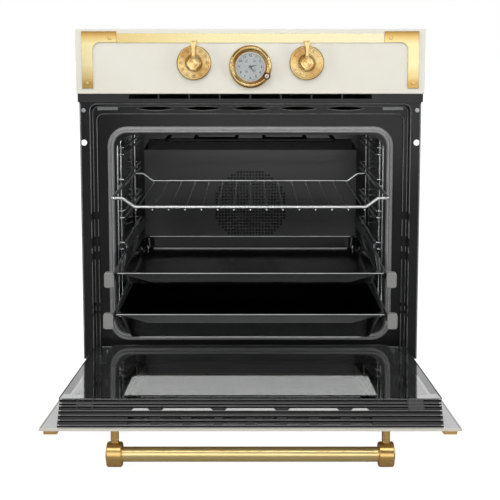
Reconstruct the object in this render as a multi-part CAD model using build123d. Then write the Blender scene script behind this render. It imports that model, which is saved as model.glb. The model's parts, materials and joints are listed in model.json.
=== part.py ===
from build123d import *
import math
import os

# Built-in oven, door open at its stop, shelf and trays pulled out.
# Millimetres. X to the right, Y to the back, Z up.
# X = 0 is the middle, Y = 0 the cabinet's front, Z = 0 the underside of the casing.

# Clearances
face_gap = 0.3
running_gap = 0.05
weld_gap = 0.05
soft_gap = 0.35
bore_spare = 1.0
cut_over = 1.0

# Control panel
panel_width = 595.0
panel_height = 110.0
panel_rise = 5.0
panel_depth = 20.0
panel_sheet = 2.0
panel_corner = 3.0

# Brass trim on the panel
trim_thickness = 2.0
trim_bar_thickness = 1.3
bracket_inset = 10.5
bracket_width = 19.0
bracket_reach = 59.3
bracket_top_inset = 4.0
bracket_foot_inset = 9.4
bracket_inner_radius = 13.0
bar_height = 16.0
rivet_radius = 3.2
rivet_height = 1.4
rivet_tail = 2.0
rivet_shift = 1.5
bar_shift = 0.5
rivet_shank_radius = 1.5
rivet_hole_gap = 0.1

# Knobs
knob_offset = 96.0
knob_rise = 52.8
knob_gap = 1.0
skirt_radius = 29.5
skirt_thickness = 4.0
hub_radius = 13.0
hub_length = 22.0
lever_tip = 37.5
lever_neck_width = 5.5
lever_tip_width = 11.0
lever_thickness = 8.0
lever_notch = 2.4
lever_neck_top = 12.4
lever_shoulder = 6.0
lever_slant = 1.0
hub_round = 1.5
knob_shaft_radius = 3.0
knob_shaft_hole_radius = 5.0
knob_shaft_length = 16.0
switch_size = 44.0
switch_depth = 28.0
switch_chamfer = 4.0

# Clock
clock_rise = 46.2
bezel_radius = 36.75
bezel_thickness = 8.0
dial_radius = 25.25
clock_case_radius = 30.0
clock_case_depth = 30.0
clock_glass_thickness = 1.2
clock_glass_setback = 2.2
bezel_lip = 1.6
hand_lift = 1.2
minute_reach = 11.5
hour_reach = 11.0
hand_width = 2.2
hand_thickness = 0.5
minute_shaft_radius = 0.8
hour_tube_radius = 1.6
clock_shaft_depth = 8.0
hand_shaft_end = 3.0
minute_angle = 12.0
hour_angle = -40.0
setting_offset_x = 28.0
setting_offset_z = -15.6
setting_radius = 6.0
setting_length = 6.0
setting_shaft_radius = 1.5
setting_round = 1.2
setting_lug_radius = 4.65

# Casing
panel_overhang = 17.5
body_height = 590.0
body_depth = 545.0
casing_sheet = 1.2
casing_base_front = 20.0
casing_toe_height = 8.0
casing_slot_width = 6.0
casing_top_slots = 9
casing_top_slot_pitch = 20.0
casing_top_slot_length = 80.0
casing_rear_slots = 12
casing_rear_slot_pitch = 22.0
casing_rear_slot_inset = 40.0
casing_rear_slot_drop = 40.0
casing_rear_slot_length = 50.0
inlet_width = 56.0
inlet_height = 44.0
inlet_depth = 18.0
inlet_x = 180.0
inlet_drop = 70.0
inlet_round = 4.0
gland_radius = 9.0
gland_bore_radius = 4.0
gland_length = 12.0
gland_bore_depth = 14.0

# Vent trim under the panel
vent_height = 15.0
vent_thickness = 4.0
vent_slot_count = 8
vent_slot_pitch = 52.7
vent_slot_length = 50.0
vent_slot_height = 8.0
vent_slot_margin = 1.0

# Front frame
frame_inset = 2.5
frame_bottom = 15.6
flange_thickness = 1.5
frame_sheet = 1.2
step_margin = 3.0
step_corner = 12.0
ledge_y = 22.0
recess_y = 28.0
ledge_width = 10.0
ledge_height = 18.5
recess_corner = 8.0
lens_count = 5
lens_pitch = 83.0
lens_length = 65.0
lens_height = 7.0
cabinet_hole_inset = 7.0
cabinet_hole_z = 400.0
cabinet_hole_radius = 5.2
frame_screw_z = 456.0
frame_screw_radius = 4.0
frame_screw_head = 1.8
frame_screw_shank = 2.0
frame_screw_hole_gap = 0.2
frame_screw_tail = 8.0
screw_slot_width = 1.0
screw_slot_depth = 0.7
arm_slot_gap = 1.0
arm_slot_headroom = 0.8

# Cavity
opening_border = 32.0
opening_bottom = 57.0
opening_top_border = 37.5
opening_corner = 32.0
liner_side_step = 4.5
liner_floor_step = 3.0
liner_rear_room = 65.0
liner_sheet = 1.5
liner_corner = 18.0

# Gasket
gasket_side_reach = 14.5
gasket_foot_reach = 14.0
gasket_top_reach = 15.0
gasket_width = 12.0
gasket_corner = 35.0
gasket_round = 4.0

# Fan cover
cover_side_room = 18.0
cover_floor_gap = 4.0
cover_crease = 346.3
cover_top = 367.0
cover_depth = 36.0
cover_sheet = 1.2
cover_corner = 22.0
fan_height = 228.0
grid_pitch = 6.5
grid_hole = 4.4
grid_reach = 11.9

# Convection fan
fan_radius = 72.0
fan_blades = 8
fan_blade_inner = 26.0
fan_blade_depth = 17.0
fan_sheet = 1.2
fan_shaft_radius = 4.0
fan_shaft_hole_radius = 8.0
fan_shaft_length = 30.0
fan_hub_radius = 8.8
fan_back_room = 8.0
motor_radius = 32.0
motor_length = 46.0
motor_round = 4.0
motor_mouth_depth = 6.0

# Heating elements
element_radius = 3.25
element_hole_gap = 0.4
grill_drop = 15.0
grill_half = 150.0
grill_front = 95.0
grill_loop = 50.0
grill_leg_x = 25.0
grill_rear_room = 40.0
grill_stagger = 30.0
grill_bend = 14.0
ring_radius = 92.0
ring_standoff = 18.0
ring_open_angle = 24.0
element_tail = 28.0
ring_joint_radius = 3.38
bottom_inset = 60.0
bottom_front = 98.0
bottom_rear_room = 30.0
bottom_gap_half = 30.0
bottom_bend = 30.0
hanger_thickness = 2.0
hanger_spread = 12.0

# Lamp and probe
lamp_x = 175.0
lamp_drop = 23.0
lamp_glass_radius = 16.0
lamp_glass_depth = 14.0
lamp_glass_wall = 3.0
lamp_glass_round = 7.0
lamp_socket_radius = 14.0
lamp_socket_length = 30.0
lamp_socket_round = 3.0
probe_x = 210.0
probe_drop = 22.0
probe_radius = 2.0
probe_length = 90.0
probe_tail = 20.0

# Insulation
insulation_side = 19.5
insulation_foot = 16.5
insulation_ceiling = 30.5
insulation_back = 30.5
element_room = 9.0

# Cooling duct and blower
duct_half = 215.0
duct_front = 0.0
duct_rear_room = 125.0
duct_height = 17.8
duct_sheet = 1.2
blower_y = 300.0
blower_mouth_radius = 60.0
blower_housing_radius = 78.0
blower_housing_height = 42.0
blower_intake_radius = 45.0
impeller_radius = 68.0
impeller_blades = 20
impeller_blade_length = 18.0
impeller_height = 26.0
impeller_lift = 4.0
impeller_shaft_radius = 3.0
impeller_shaft_length = 20.0
impeller_hub_radius = 7.5
impeller_hub_depth = 6.0
impeller_blade_margin = 0.5
blower_motor_radius = 28.0
blower_motor_height = 36.0
blower_motor_round = 4.0
blower_bridge_width = 24.0
blower_bridge_thickness = 2.0

# Side ladders
ladder_stand_off = 12.0
ladder_wall_gap = 3.0
ladder_runner_gap = 0.1
ladder_wire_radius = 2.0
ladder_post_radius = 2.5
ladder_pair = 12.0
ladder_pitch = 57.2
ladder_rear_room = 95.0
ladder_post_overrun = 10.0
ladder_bend = 6.0
levels_above_shelf = 1
levels_below_shelf = 4

# Wire shelf
shelf_overlap = 1.5
shelf_in = 60.0
shelf_rear_gap = 9.0
shelf_out = 141.0
shelf_rail = 320.8
shelf_drop = 14.5
shelf_frame_radius = 2.5
shelf_corner = 7.0
shelf_shoulder_inset = 19.5
shelf_slope = 20.0
shelf_wire_radius = 1.5
shelf_wire_count = 15
shelf_wire_inset = 1.8
shelf_cross_radius = 2.0
shelf_wire_end = 0.5
shelf_cross_end = 4.0

# Trays
tray_rail_gap = 0.7
tray_sheet = 1.2
tray_corner = 26.0
tray_rim_corner = 6.0
upper_rim = 206.4
upper_tray_deep = 23.5
upper_tray_wall = 13.5
upper_tray_taper = 7.0
upper_rear_gap = 18.3
upper_out = 190.0
upper_in = 47.7
lower_rim = 143.5
lower_tray_deep = 43.0
lower_tray_wall = 6.0
lower_tray_taper = 20.0
lower_rear_gap = 4.0
lower_out = 210.0
lower_in = 98.0
lip_height = 14.0
lip_setback = 3.0
lip_end_taper = 46.0
lip_margin = 10.0

# Telescopic runners
slide_thickness = 1.3
middle_thickness = 1.3
fixed_thickness = 2.0
slide_height = 14.0
middle_height = 17.0
fixed_height = 20.0
slide_ledge = 5.0
runner_rear_room = 50.0
cap_width = 16.0
cap_height = 25.0
cap_depth = 12.0
cap_corner = 4.0
cap_rise = 1.0
cap_round = 1.5
clip_length = 14.0
clip_thickness = 2.5
clip_reach = 6.0
clip_root = 2.0
clip_front_room = 30.0
clip_rear_room = 40.0

# Door
door_bottom = 9.0
door_panel_gap = 5.0
door_thickness = 39.0
glass_thickness = 4.0
glass_chamfer = 2.0
door_body_inset = 24.0
door_body_bottom = 16.0
louvre_inset = 4.0
louvre_rise = 30.0
louvre_depth = 64.0
louvre_ribs = 7
louvre_groove = 3.0
louvre_groove_depth = 2.6
louvre_wide_count = 5
louvre_wide_pitch = 90.4
louvre_wide_web = 16.0
louvre_narrow_count = 10
louvre_narrow_pitch = 45.2
louvre_narrow_web = 13.0
louvre_wide_row = 3
louvre_narrow_rows = (5, 6)
louvre_slot_half = 1.2
louvre_slot_above = 4.0
side_rail_width = 11.5
rail_wall = 1.5
middle_glass_gap = 2.5
middle_glass_y = 1.0
open_angle = 85.8
hinge_y = 4.5
hinge_z = 23.5
hinge_arm_inset = 20.5
hinge_arm_thickness = 6.0
hinge_arm_radius = 6.0
hinge_pin_radius = 3.0
hinge_cheek = 2.0
hinge_cheek_height = 60.0
hinge_cheek_back = 10.0
hinge_cheek_front = 5.0
hinge_cheek_foot = 2.0
hinge_bridge_gap = 4.0
hinge_plate_height = 20.0
hinge_notch_height = 17.0
hinge_notch_width = 29.5
receiver_half_width = 7.0
receiver_depth = 31.0
receiver_bottom = 14.0
receiver_top = 33.0
foot_lip_inset = 26.5
foot_lip_depth = 12.0

# Brass trim and handle on the door
door_trim_inset = 6.9
door_trim_width = 19.7
door_trim_thickness = 4.5
door_bracket_reach = 59.3
door_bar_height = 16.0
door_bar_thickness = 3.0
door_strip_chamfer = 1.0
handle_overhang = 12.6
handle_radius = 10.65
handle_standoff = 40.0
handle_drop = 28.0
handle_bracket_inset = 104.1
handle_bracket_radius = 18.0
handle_bracket_width = 22.0
handle_post_radius = 5.9
handle_fit = 0.05
handle_dome = 3.0
handle_ring_chamfer = 1.6

# Places worked out from the sizes above
panel_half = panel_width / 2
panel_top = body_height + panel_rise
panel_bottom = panel_top - panel_height
bracket_top = panel_top - bracket_top_inset
bracket_bottom = panel_bottom + bracket_foot_inset
knob_height = panel_bottom + knob_rise
clock_height = panel_bottom + clock_rise
front_y = -panel_depth
panel_back_y = front_y + panel_sheet
trim_face_y = front_y - trim_thickness

body_width = panel_width - 2 * panel_overhang
inlet_z = body_height - inlet_drop
casing_rear_slot_high = body_height - casing_rear_slot_drop
casing_rear_slot_low = casing_rear_slot_high - casing_rear_slot_length

frame_width = panel_width - 2 * frame_inset
frame_top = panel_bottom - vent_height
step_half = body_width / 2 - casing_sheet - face_gap
step_top = frame_top - step_margin
recess_half = step_half - ledge_width
recess_top = step_top - ledge_height
recess_back_y = recess_y + frame_sheet
cabinet_hole_x = frame_width / 2 - cabinet_hole_inset
opening_half = recess_half - opening_border
opening_top = recess_top - opening_top_border
foot_lip_half = opening_half - foot_lip_inset
gasket_half = opening_half + gasket_side_reach
gasket_bottom = opening_bottom - gasket_foot_reach
gasket_top = opening_top + gasket_top_reach

liner_half = opening_half + liner_side_step
liner_floor = opening_bottom - liner_floor_step
liner_ceiling = opening_top + liner_floor_step
liner_rear = body_depth - liner_rear_room
liner_back_y = liner_rear + liner_sheet
cover_half = liner_half - cover_side_room
cover_bottom = liner_floor + cover_floor_gap
cover_y = liner_rear - cover_depth
grill_height = liner_ceiling - grill_drop
lamp_z = liner_ceiling - lamp_drop
probe_z = liner_ceiling - probe_drop
insulation_half = liner_half + liner_sheet + insulation_side
insulation_bottom = liner_floor - liner_sheet - insulation_foot
insulation_top = liner_ceiling + liner_sheet + insulation_ceiling
insulation_rear = liner_back_y + insulation_back
duct_rear = body_depth - duct_rear_room
duct_bottom = step_top + frame_sheet + 2 * face_gap
duct_top = duct_bottom + duct_height

ladder_post = liner_half - ladder_wall_gap
ladder_wire = ladder_post - ladder_stand_off
ladder_rear = liner_rear - ladder_rear_room
fixed_outer = ladder_wire - ladder_wire_radius - ladder_runner_gap
fixed_inner = fixed_outer - fixed_thickness
middle_outer = fixed_inner - face_gap
middle_inner = middle_outer - middle_thickness
slide_outer = middle_inner - face_gap
rail_inner = slide_outer - slide_thickness
tray_half = rail_inner - tray_rail_gap
runner_rear = liner_rear - runner_rear_room
upper_depth = cover_y - upper_rear_gap - upper_in
lower_depth = cover_y - lower_rear_gap - lower_in
ladder_front = upper_in + cap_depth + face_gap + ladder_wire_radius
lower_level_front = lower_in + cap_depth + ladder_post_radius + 2 * ladder_wire_radius
shelf_half = ladder_wire + shelf_overlap
shelf_shoulder = shelf_half - shelf_shoulder_inset
shelf_dip = shelf_shoulder - shelf_slope
shelf_wire_pitch = 2 * (shelf_dip - shelf_wire_inset) / (shelf_wire_count - 1)
shelf_depth = cover_y - shelf_rear_gap - shelf_in
shelf_level = shelf_rail - shelf_frame_radius - ladder_wire_radius - weld_gap

door_top = panel_bottom - door_panel_gap
door_inner_y = front_y + door_thickness
glass_back_y = front_y + glass_thickness
inner_glass_y = door_inner_y - glass_thickness
door_body_half = panel_half - door_body_inset
louvre_top = door_top - louvre_inset
door_body_top = louvre_top - louvre_rise
hinge_arm_x = door_body_half - hinge_arm_inset
hinge_notch_x = door_body_half - hinge_notch_width
hinge_axis = Axis((0, hinge_y, hinge_z), (1, 0, 0))
handle_bracket_x = panel_half - handle_bracket_inset
handle_length = 2 * (handle_bracket_x + handle_overhang)


def block(x0, x1, y0, y1, z0, z1):
    """A box between two corners."""
    place = Pos((x0 + x1) / 2, (y0 + y1) / 2, (z0 + z1) / 2)
    return place * Box(abs(x1 - x0), abs(y1 - y0), abs(z1 - z0))


def along_x(radius, x0, x1, y, z):
    """A round bar along X."""
    return Pos((x0 + x1) / 2, y, z) * Rot(0, 90, 0) * Cylinder(radius, abs(x1 - x0))


def along_y(radius, y0, y1, x, z):
    """A round bar along Y."""
    return Pos(x, (y0 + y1) / 2, z) * Rot(90, 0, 0) * Cylinder(radius, abs(y1 - y0))


def along_z(radius, z0, z1, x, y):
    """A round bar along Z."""
    return Pos(x, y, (z0 + z1) / 2) * Cylinder(radius, abs(z1 - z0))


def facing(y, x=0.0, z=0.0):
    """A plane that faces the front, with its own x to the right and y up."""
    return Plane(origin=(x, y, z), x_dir=(1, 0, 0), z_dir=(0, -1, 0))


def rounded_prism(half, z0, z1, radius, y0, y1):
    """An upright rounded rectangle, run from y0 back to y1."""
    outline = RectangleRounded(2 * half, z1 - z0, radius)
    face = facing(y1, 0.0, (z0 + z1) / 2) * outline
    return extrude(face, y1 - y0)


def profile_yz(points, x0, x1):
    """A closed outline in Y and Z, run from x0 to x1."""
    outline = make_face(Polyline(*points, close=True))
    face = Plane(origin=(x0, 0, 0), x_dir=(0, 1, 0), z_dir=(1, 0, 0)) * outline
    return extrude(face, x1 - x0)


def profile_xz(points, y0, y1):
    """A closed outline in X and Z, run from y0 back to y1."""
    outline = make_face(Polyline(*points, close=True))
    return extrude(facing(y1) * outline, y1 - y0)


def wire_rod(points, radius, bend):
    """A round wire along straight runs with rounded bends."""
    path = FilletPolyline(*points, radius=bend)
    start = Plane(origin=path @ 0, z_dir=path % 0)
    return sweep(start * Circle(radius), path=path)


def both_sides(shape):
    """The shape and its mirror image across the middle."""
    return [shape, mirror(shape, about=Plane.YZ)]


def opened(shape):
    """A door piece drawn closed, turned to the open stop."""
    return shape.rotate(hinge_axis, open_angle)


def solids_of(shapes):
    """Every solid in a list of shapes."""
    found = []
    for shape in shapes:
        found.extend(shape.solids())
    return found


def save(node, *shapes):
    """Write one node's solids."""
    found = solids_of(shapes)
    body = found[0] if len(found) == 1 else Compound(children=found)
    export_step(body, f"parts/{node}.step")


# Control panel, with its brass trim and rivets
def rivet_places():
    """Where the panel's rivets are, as X and Z."""
    outer = panel_width / 2 - bracket_inset - bracket_width / 2
    inner = panel_width / 2 - bracket_inset - bracket_reach + bracket_width / 2 + rivet_shift
    upper = bracket_top - bracket_width / 2 - rivet_shift
    lower = bracket_bottom + bracket_width / 2
    return [(-outer, lower), (outer, lower), (-inner, upper), (inner, upper)]


def control_panel():
    """A pressed sheet with returns, and holes for what it carries."""
    shell = block(-panel_width / 2, panel_width / 2, front_y, 0, panel_bottom, panel_top)
    front_edges = shell.edges().group_by(Axis.Y)[0]
    shell = fillet(front_edges, panel_corner / 2)
    inside = block(
        -panel_width / 2 + panel_sheet,
        panel_width / 2 - panel_sheet,
        panel_back_y,
        1,
        panel_bottom + panel_sheet,
        panel_top - panel_sheet,
    )
    shell -= inside
    for side in (-1, 1):
        shell -= along_y(knob_shaft_hole_radius, front_y - cut_over, 0, side * knob_offset, knob_height)
    shell -= along_y(dial_radius + face_gap, front_y - cut_over, 0, 0, clock_height)
    setting_hole = setting_shaft_radius + 2 * running_gap
    shell -= along_y(setting_hole, front_y - cut_over, 0, setting_offset_x, clock_height + setting_offset_z)
    for x, z in rivet_places():
        shell -= along_y(rivet_shank_radius + rivet_hole_gap, front_y - cut_over, 0, x, z)
    return shell


def corner_bracket(half, top, bottom, width, reach, radius, back_y, thickness):
    """A flat L with a rounded inner corner, at the upper right."""
    outer = half
    inner = half - width
    points = [
        (outer, top),
        (outer, bottom),
        (inner, bottom),
        (inner, top - width),
        (outer - reach, top - width),
        (outer - reach, top),
    ]
    plate = profile_xz(points, back_y - thickness, back_y)
    bend = plate.edges().filter_by(Axis.Y).sort_by_distance((inner, back_y, top - width))[0]
    plate = fillet(bend, radius)
    corner = plate.edges().filter_by(Axis.Y).sort_by_distance((outer, back_y, top))[0]
    return fillet(corner, panel_corner)


def panel_trim():
    """Two corner brackets and the bar between them."""
    half = panel_width / 2 - bracket_inset
    bracket = corner_bracket(
        half, bracket_top, bracket_bottom, bracket_width, bracket_reach,
        bracket_inner_radius, front_y, trim_thickness,
    )
    for x, z in rivet_places():
        bracket -= along_y(rivet_shank_radius + rivet_hole_gap, trim_face_y - cut_over, front_y, x, z)
    bar_half = half - bracket_reach
    bar_middle = bracket_top - bracket_width / 2 - bar_shift
    bar = block(
        -bar_half,
        bar_half,
        front_y - trim_bar_thickness,
        front_y,
        bar_middle - bar_height / 2,
        bar_middle + bar_height / 2,
    )
    return both_sides(bracket) + [bar]


def panel_rivets():
    """Domed rivets that hold the brackets to the sheet."""
    rivets = []
    for x, z in rivet_places():
        head = along_y(rivet_radius, trim_face_y - rivet_height, trim_face_y, x, z)
        head = fillet(head.edges().group_by(Axis.Y)[0], rivet_height * 0.8)
        shank = along_y(rivet_shank_radius, trim_face_y, panel_back_y + rivet_tail, x, z)
        rivets.append(head + shank)
    return rivets


# Knobs with their switches
def lever_knob(x):
    """A round skirt, a hub and an upright lever, on a shaft."""
    back = front_y - knob_gap
    skirt = along_y(skirt_radius, back - skirt_thickness, back, x, knob_height)
    skirt = chamfer(skirt.edges().group_by(Axis.Y)[0], skirt_thickness * 0.4)
    hub_front = back - hub_length
    hub = along_y(hub_radius, hub_front, back, x, knob_height)
    hub = fillet(hub.edges().group_by(Axis.Y)[0], hub_round)
    neck = lever_neck_width / 2
    side = lever_tip_width / 2
    tip = knob_height + lever_tip
    right = [
        (neck, knob_height),
        (neck, knob_height + lever_neck_top),
        (side, tip - lever_shoulder),
        (side - lever_slant, tip),
        (lever_notch, tip),
    ]
    left = [(-across, z) for across, z in reversed(right)]
    outline = right + [(0, tip - lever_notch)] + left
    points = [(x + across, z) for across, z in outline]
    lever = profile_xz(points, hub_front, hub_front + lever_thickness)
    shaft = along_y(knob_shaft_radius, back, back + knob_shaft_length, x, knob_height)
    return skirt + hub + lever + shaft


def switch_body(x):
    """The rotary switch behind one knob, with the bore for its shaft."""
    half = switch_size / 2
    body = block(
        x - half, x + half, panel_back_y, panel_back_y + switch_depth,
        knob_height - half, knob_height + half,
    )
    body = chamfer(body.edges().filter_by(Axis.Y), switch_chamfer)
    bore_end = front_y - knob_gap + knob_shaft_length + bore_spare
    return body - along_y(knob_shaft_radius + running_gap, panel_back_y, bore_end, x, knob_height)


# Clock
def clock_case():
    """The round movement case behind the panel."""
    back = panel_back_y + clock_case_depth
    case = along_y(clock_case_radius, panel_back_y, back, 0, clock_height)
    hole = hour_tube_radius + running_gap
    bore_end = front_y + clock_shaft_depth + bore_spare
    case -= along_y(hole, panel_back_y, bore_end, 0, clock_height)
    lug_z = clock_height + setting_offset_z
    case += along_y(setting_lug_radius, panel_back_y, back, setting_offset_x, lug_z)
    setting_hole = setting_shaft_radius + running_gap
    return case - along_y(setting_hole, panel_back_y, bore_end, setting_offset_x, lug_z)


def clock_bezel():
    """A rounded brass ring in front of the panel."""
    ring = along_y(bezel_radius, front_y - bezel_thickness, front_y, 0, clock_height)
    ring = fillet(ring.edges().group_by(Axis.Y)[0], bezel_thickness * 0.55)
    ring -= along_y(dial_radius, front_y - bezel_thickness - cut_over, front_y, 0, clock_height)
    inner = ring.edges().group_by(Axis.Y)[0]
    ring = chamfer(inner, bezel_lip)
    hole = setting_shaft_radius + running_gap
    lug_z = clock_height + setting_offset_z
    return ring - along_y(hole, front_y - bezel_thickness - cut_over, front_y, setting_offset_x, lug_z)


def clock_dial():
    """The round face, with a bore for the hands' shafts."""
    face = along_y(dial_radius, front_y, panel_back_y, 0, clock_height)
    return face - along_y(hour_tube_radius + running_gap, front_y - cut_over, panel_back_y, 0, clock_height)


def clock_glass():
    """The clear disc over the hands."""
    front = front_y - bezel_thickness + clock_glass_setback
    return along_y(dial_radius - running_gap, front, front + clock_glass_thickness, 0, clock_height)


def hand(reach, angle, y):
    """One pointer with its round boss, turned up from the right by the angle."""
    boss = along_y(hour_tube_radius * 1.5, y, y + hand_thickness, 0, 0)
    blade = block(0, reach, y, y + hand_thickness, -hand_width / 2, hand_width / 2)
    turned = (boss + blade).rotate(Axis.Y, -angle)
    return Pos(0, 0, clock_height) * turned


def hour_hand():
    """The lower pointer on its tube."""
    y = front_y - hand_lift
    tube_end = panel_back_y + clock_shaft_depth - hand_shaft_end
    shape = hand(hour_reach, hour_angle, y)
    shape += along_y(hour_tube_radius, y, tube_end, 0, clock_height)
    bore = minute_shaft_radius + running_gap
    return shape - along_y(bore, y - cut_over, tube_end + cut_over, 0, clock_height)


def minute_hand():
    """The upper pointer on its shaft, inside the hour hand's tube."""
    y = front_y - hand_lift - hand_thickness - face_gap
    shaft_end = panel_back_y + clock_shaft_depth - hand_shaft_end
    shape = hand(minute_reach, minute_angle, y)
    return shape + along_y(minute_shaft_radius, y, shaft_end, 0, clock_height)


def setting_knob():
    """The small knob on the bezel that turns the hands."""
    x = setting_offset_x
    z = clock_height + setting_offset_z
    back = front_y - bezel_thickness - face_gap
    cap = along_y(setting_radius, back - setting_length, back, x, z)
    cap = fillet(cap.edges().group_by(Axis.Y)[0], setting_round)
    return cap + along_y(setting_shaft_radius, back, front_y + clock_shaft_depth, x, z)


# Vent trim and front frame
def vent_trim():
    """The black strip under the panel, with its row of air slots."""
    strip = block(-panel_width / 2, panel_width / 2, -vent_thickness, 0, frame_top, panel_bottom)
    slot_top = panel_bottom - vent_slot_margin
    for index in range(vent_slot_count):
        middle = (index - (vent_slot_count - 1) / 2) * vent_slot_pitch
        half = vent_slot_length / 2
        strip -= block(
            middle - half, middle + half, -vent_thickness - cut_over, cut_over,
            slot_top - vent_slot_height, slot_top,
        )
    return strip


def arch(half, top, y0, y1, corner):
    """An upright plate from the frame's foot to the given top, with round upper corners."""
    foot = frame_bottom
    plate = block(-half, half, y0, y1, foot, top)
    upper = plate.edges().filter_by(Axis.Y).group_by(Axis.Z)[-1]
    return fillet(upper, corner)


def lens_slot(x, z):
    """A slot with pointed ends and bowed sides."""
    half = lens_length / 2
    left = (x - half, z)
    right = (x + half, z)
    upper = ThreePointArc(left, (x, z + lens_height / 2), right)
    lower = ThreePointArc(right, (x, z - lens_height / 2), left)
    face = facing(ledge_y + frame_sheet + cut_over) * make_face(upper + lower)
    return extrude(face, frame_sheet + 2)


def front_frame():
    """The black pressed frame: flange, outer step, ledge, inner step and recess plate."""
    half = frame_width / 2
    sheet = frame_sheet
    inner_half = step_half - sheet
    flange = block(-half, half, -flange_thickness, 0, frame_bottom, frame_top)
    flange -= arch(inner_half, step_top, -flange_thickness - cut_over, cut_over, step_corner)
    outer_step = arch(step_half, step_top + sheet, 0, ledge_y + sheet, step_corner + sheet)
    outer_step -= arch(inner_half, step_top, -cut_over, ledge_y + sheet + cut_over, step_corner)
    ledge = arch(inner_half, step_top, ledge_y, ledge_y + sheet, step_corner)
    ledge -= arch(recess_half, recess_top, ledge_y - cut_over, ledge_y + sheet + cut_over, recess_corner)
    inner_step = arch(
        recess_half + sheet, recess_top + sheet, ledge_y, recess_back_y, recess_corner + sheet
    )
    inner_step -= arch(recess_half, recess_top, ledge_y - cut_over, recess_back_y + cut_over, recess_corner)
    plate = arch(recess_half, recess_top, recess_y, recess_back_y, recess_corner)
    plate -= rounded_prism(
        opening_half, opening_bottom, opening_top, opening_corner,
        recess_y - cut_over, recess_back_y + cut_over,
    )
    foot_lip = block(
        -foot_lip_half, foot_lip_half, recess_y, recess_back_y + foot_lip_depth,
        frame_bottom, frame_bottom + sheet,
    )
    frame = flange + outer_step + ledge + inner_step + plate + foot_lip
    for index in range(lens_count):
        x = (index - (lens_count - 1) / 2) * lens_pitch
        frame -= lens_slot(x, (step_top + recess_top) / 2)
    for side in (-1, 1):
        x = side * cabinet_hole_x
        before = -flange_thickness - cut_over
        screw_hole = frame_screw_shank + frame_screw_hole_gap
        frame -= along_y(cabinet_hole_radius, before, cut_over, x, cabinet_hole_z)
        frame -= along_y(screw_hole, before, cut_over, x, frame_screw_z)
        arm = side * hinge_arm_x
        slot_half = hinge_arm_thickness / 2 + arm_slot_gap
        slot_reach = hinge_arm_radius + arm_slot_headroom
        frame -= block(
            arm - slot_half, arm + slot_half, recess_y - cut_over, recess_back_y + cut_over,
            hinge_z - slot_reach, hinge_z + slot_reach,
        )
    return frame


def frame_screws():
    """Pan head screws in the flange's upper corners."""
    screws = []
    for side in (-1, 1):
        x = side * cabinet_hole_x
        face = -flange_thickness
        head = along_y(frame_screw_radius, face - frame_screw_head, face, x, frame_screw_z)
        head = fillet(head.edges().group_by(Axis.Y)[0], frame_screw_head * 0.5)
        cross = frame_screw_radius * 0.55
        top = face - frame_screw_head
        half = screw_slot_width / 2
        deep = top + screw_slot_depth
        head -= block(x - cross, x + cross, top, deep, frame_screw_z - half, frame_screw_z + half)
        head -= block(x - half, x + half, top, deep, frame_screw_z - cross, frame_screw_z + cross)
        screws.append(head + along_y(frame_screw_shank, face, frame_screw_tail, x, frame_screw_z))
    return screws


def door_gasket():
    """The grey seal around the cavity's mouth."""
    front = door_inner_y + soft_gap
    ring = rounded_prism(gasket_half, gasket_bottom, gasket_top, gasket_corner, front, recess_y)
    ring -= rounded_prism(
        gasket_half - gasket_width, gasket_bottom + gasket_width, gasket_top - gasket_width,
        gasket_corner - gasket_width, front - cut_over, recess_y + cut_over,
    )
    return fillet(ring.edges().group_by(Axis.Y)[0], gasket_round)


# Cavity
def rear_holes(first_y, last_y, extra):
    """Round cutters for what passes through the cavity's rear wall."""
    element = element_radius + element_hole_gap + extra
    holes = [
        along_y(fan_shaft_hole_radius + extra, first_y, last_y, 0, fan_height),
        along_y(lamp_socket_radius + face_gap + extra, first_y, last_y, lamp_x, lamp_z),
        along_y(probe_radius + face_gap + extra, first_y, last_y, probe_x, probe_z),
    ]
    for side in (-1, 1):
        holes.append(along_y(element, first_y, last_y, side * grill_leg_x, grill_height))
    for x, z in ring_ends():
        holes.append(along_y(element, first_y, last_y, x, z))
    return holes


def ring_ends():
    """Where the ring element's tails leave, as X and Z."""
    half = math.radians(ring_open_angle / 2)
    ends = []
    for side in (-1, 1):
        x = side * ring_radius * math.sin(half)
        ends.append((x, fan_height - ring_radius * math.cos(half)))
    return ends


def cavity_liner():
    """The enamelled box, open at the front."""
    sheet = liner_sheet
    outer = rounded_prism(
        liner_half + sheet, liner_floor - sheet, liner_ceiling + sheet,
        liner_corner + sheet, recess_back_y, liner_back_y,
    )
    inner = rounded_prism(
        liner_half, liner_floor, liner_ceiling, liner_corner, recess_back_y - cut_over, liner_rear
    )
    liner = outer - inner
    for cutter in rear_holes(liner_rear - cut_over, liner_back_y + cut_over, 0):
        liner -= cutter
    return liner


def rear_fan_cover():
    """A hollow cover with a sloped top and a round field of square holes."""
    def cover_form(inset, back):
        top = cover_top - inset
        crease = cover_crease - inset
        slope = profile_yz(
            [
                (cover_y + inset, cover_bottom + inset),
                (cover_y + inset, crease),
                (liner_rear, top),
                (liner_rear + cut_over, top),
                (liner_rear + cut_over, cover_bottom + inset),
            ],
            -cover_half + inset,
            cover_half - inset,
        )
        outline = rounded_prism(
            cover_half - inset, cover_bottom + inset, top,
            cover_corner - inset, cover_y + inset, back,
        )
        return slope & outline

    cover = cover_form(0, liner_rear) - cover_form(cover_sheet, liner_rear + cut_over)
    reach = int(grid_reach)
    holes = []
    for row in range(-reach, reach + 1):
        for column in range(-reach, reach + 1):
            if math.hypot(row, column) <= grid_reach:
                place = Pos(column * grid_pitch, row * grid_pitch)
                holes.append(place * Rectangle(grid_hole, grid_hole))
    field = facing(cover_y + cover_sheet + cut_over, 0, fan_height) * Sketch(children=holes)
    cutter = extrude(field, cover_sheet + 2)
    return cover - cutter


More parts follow.
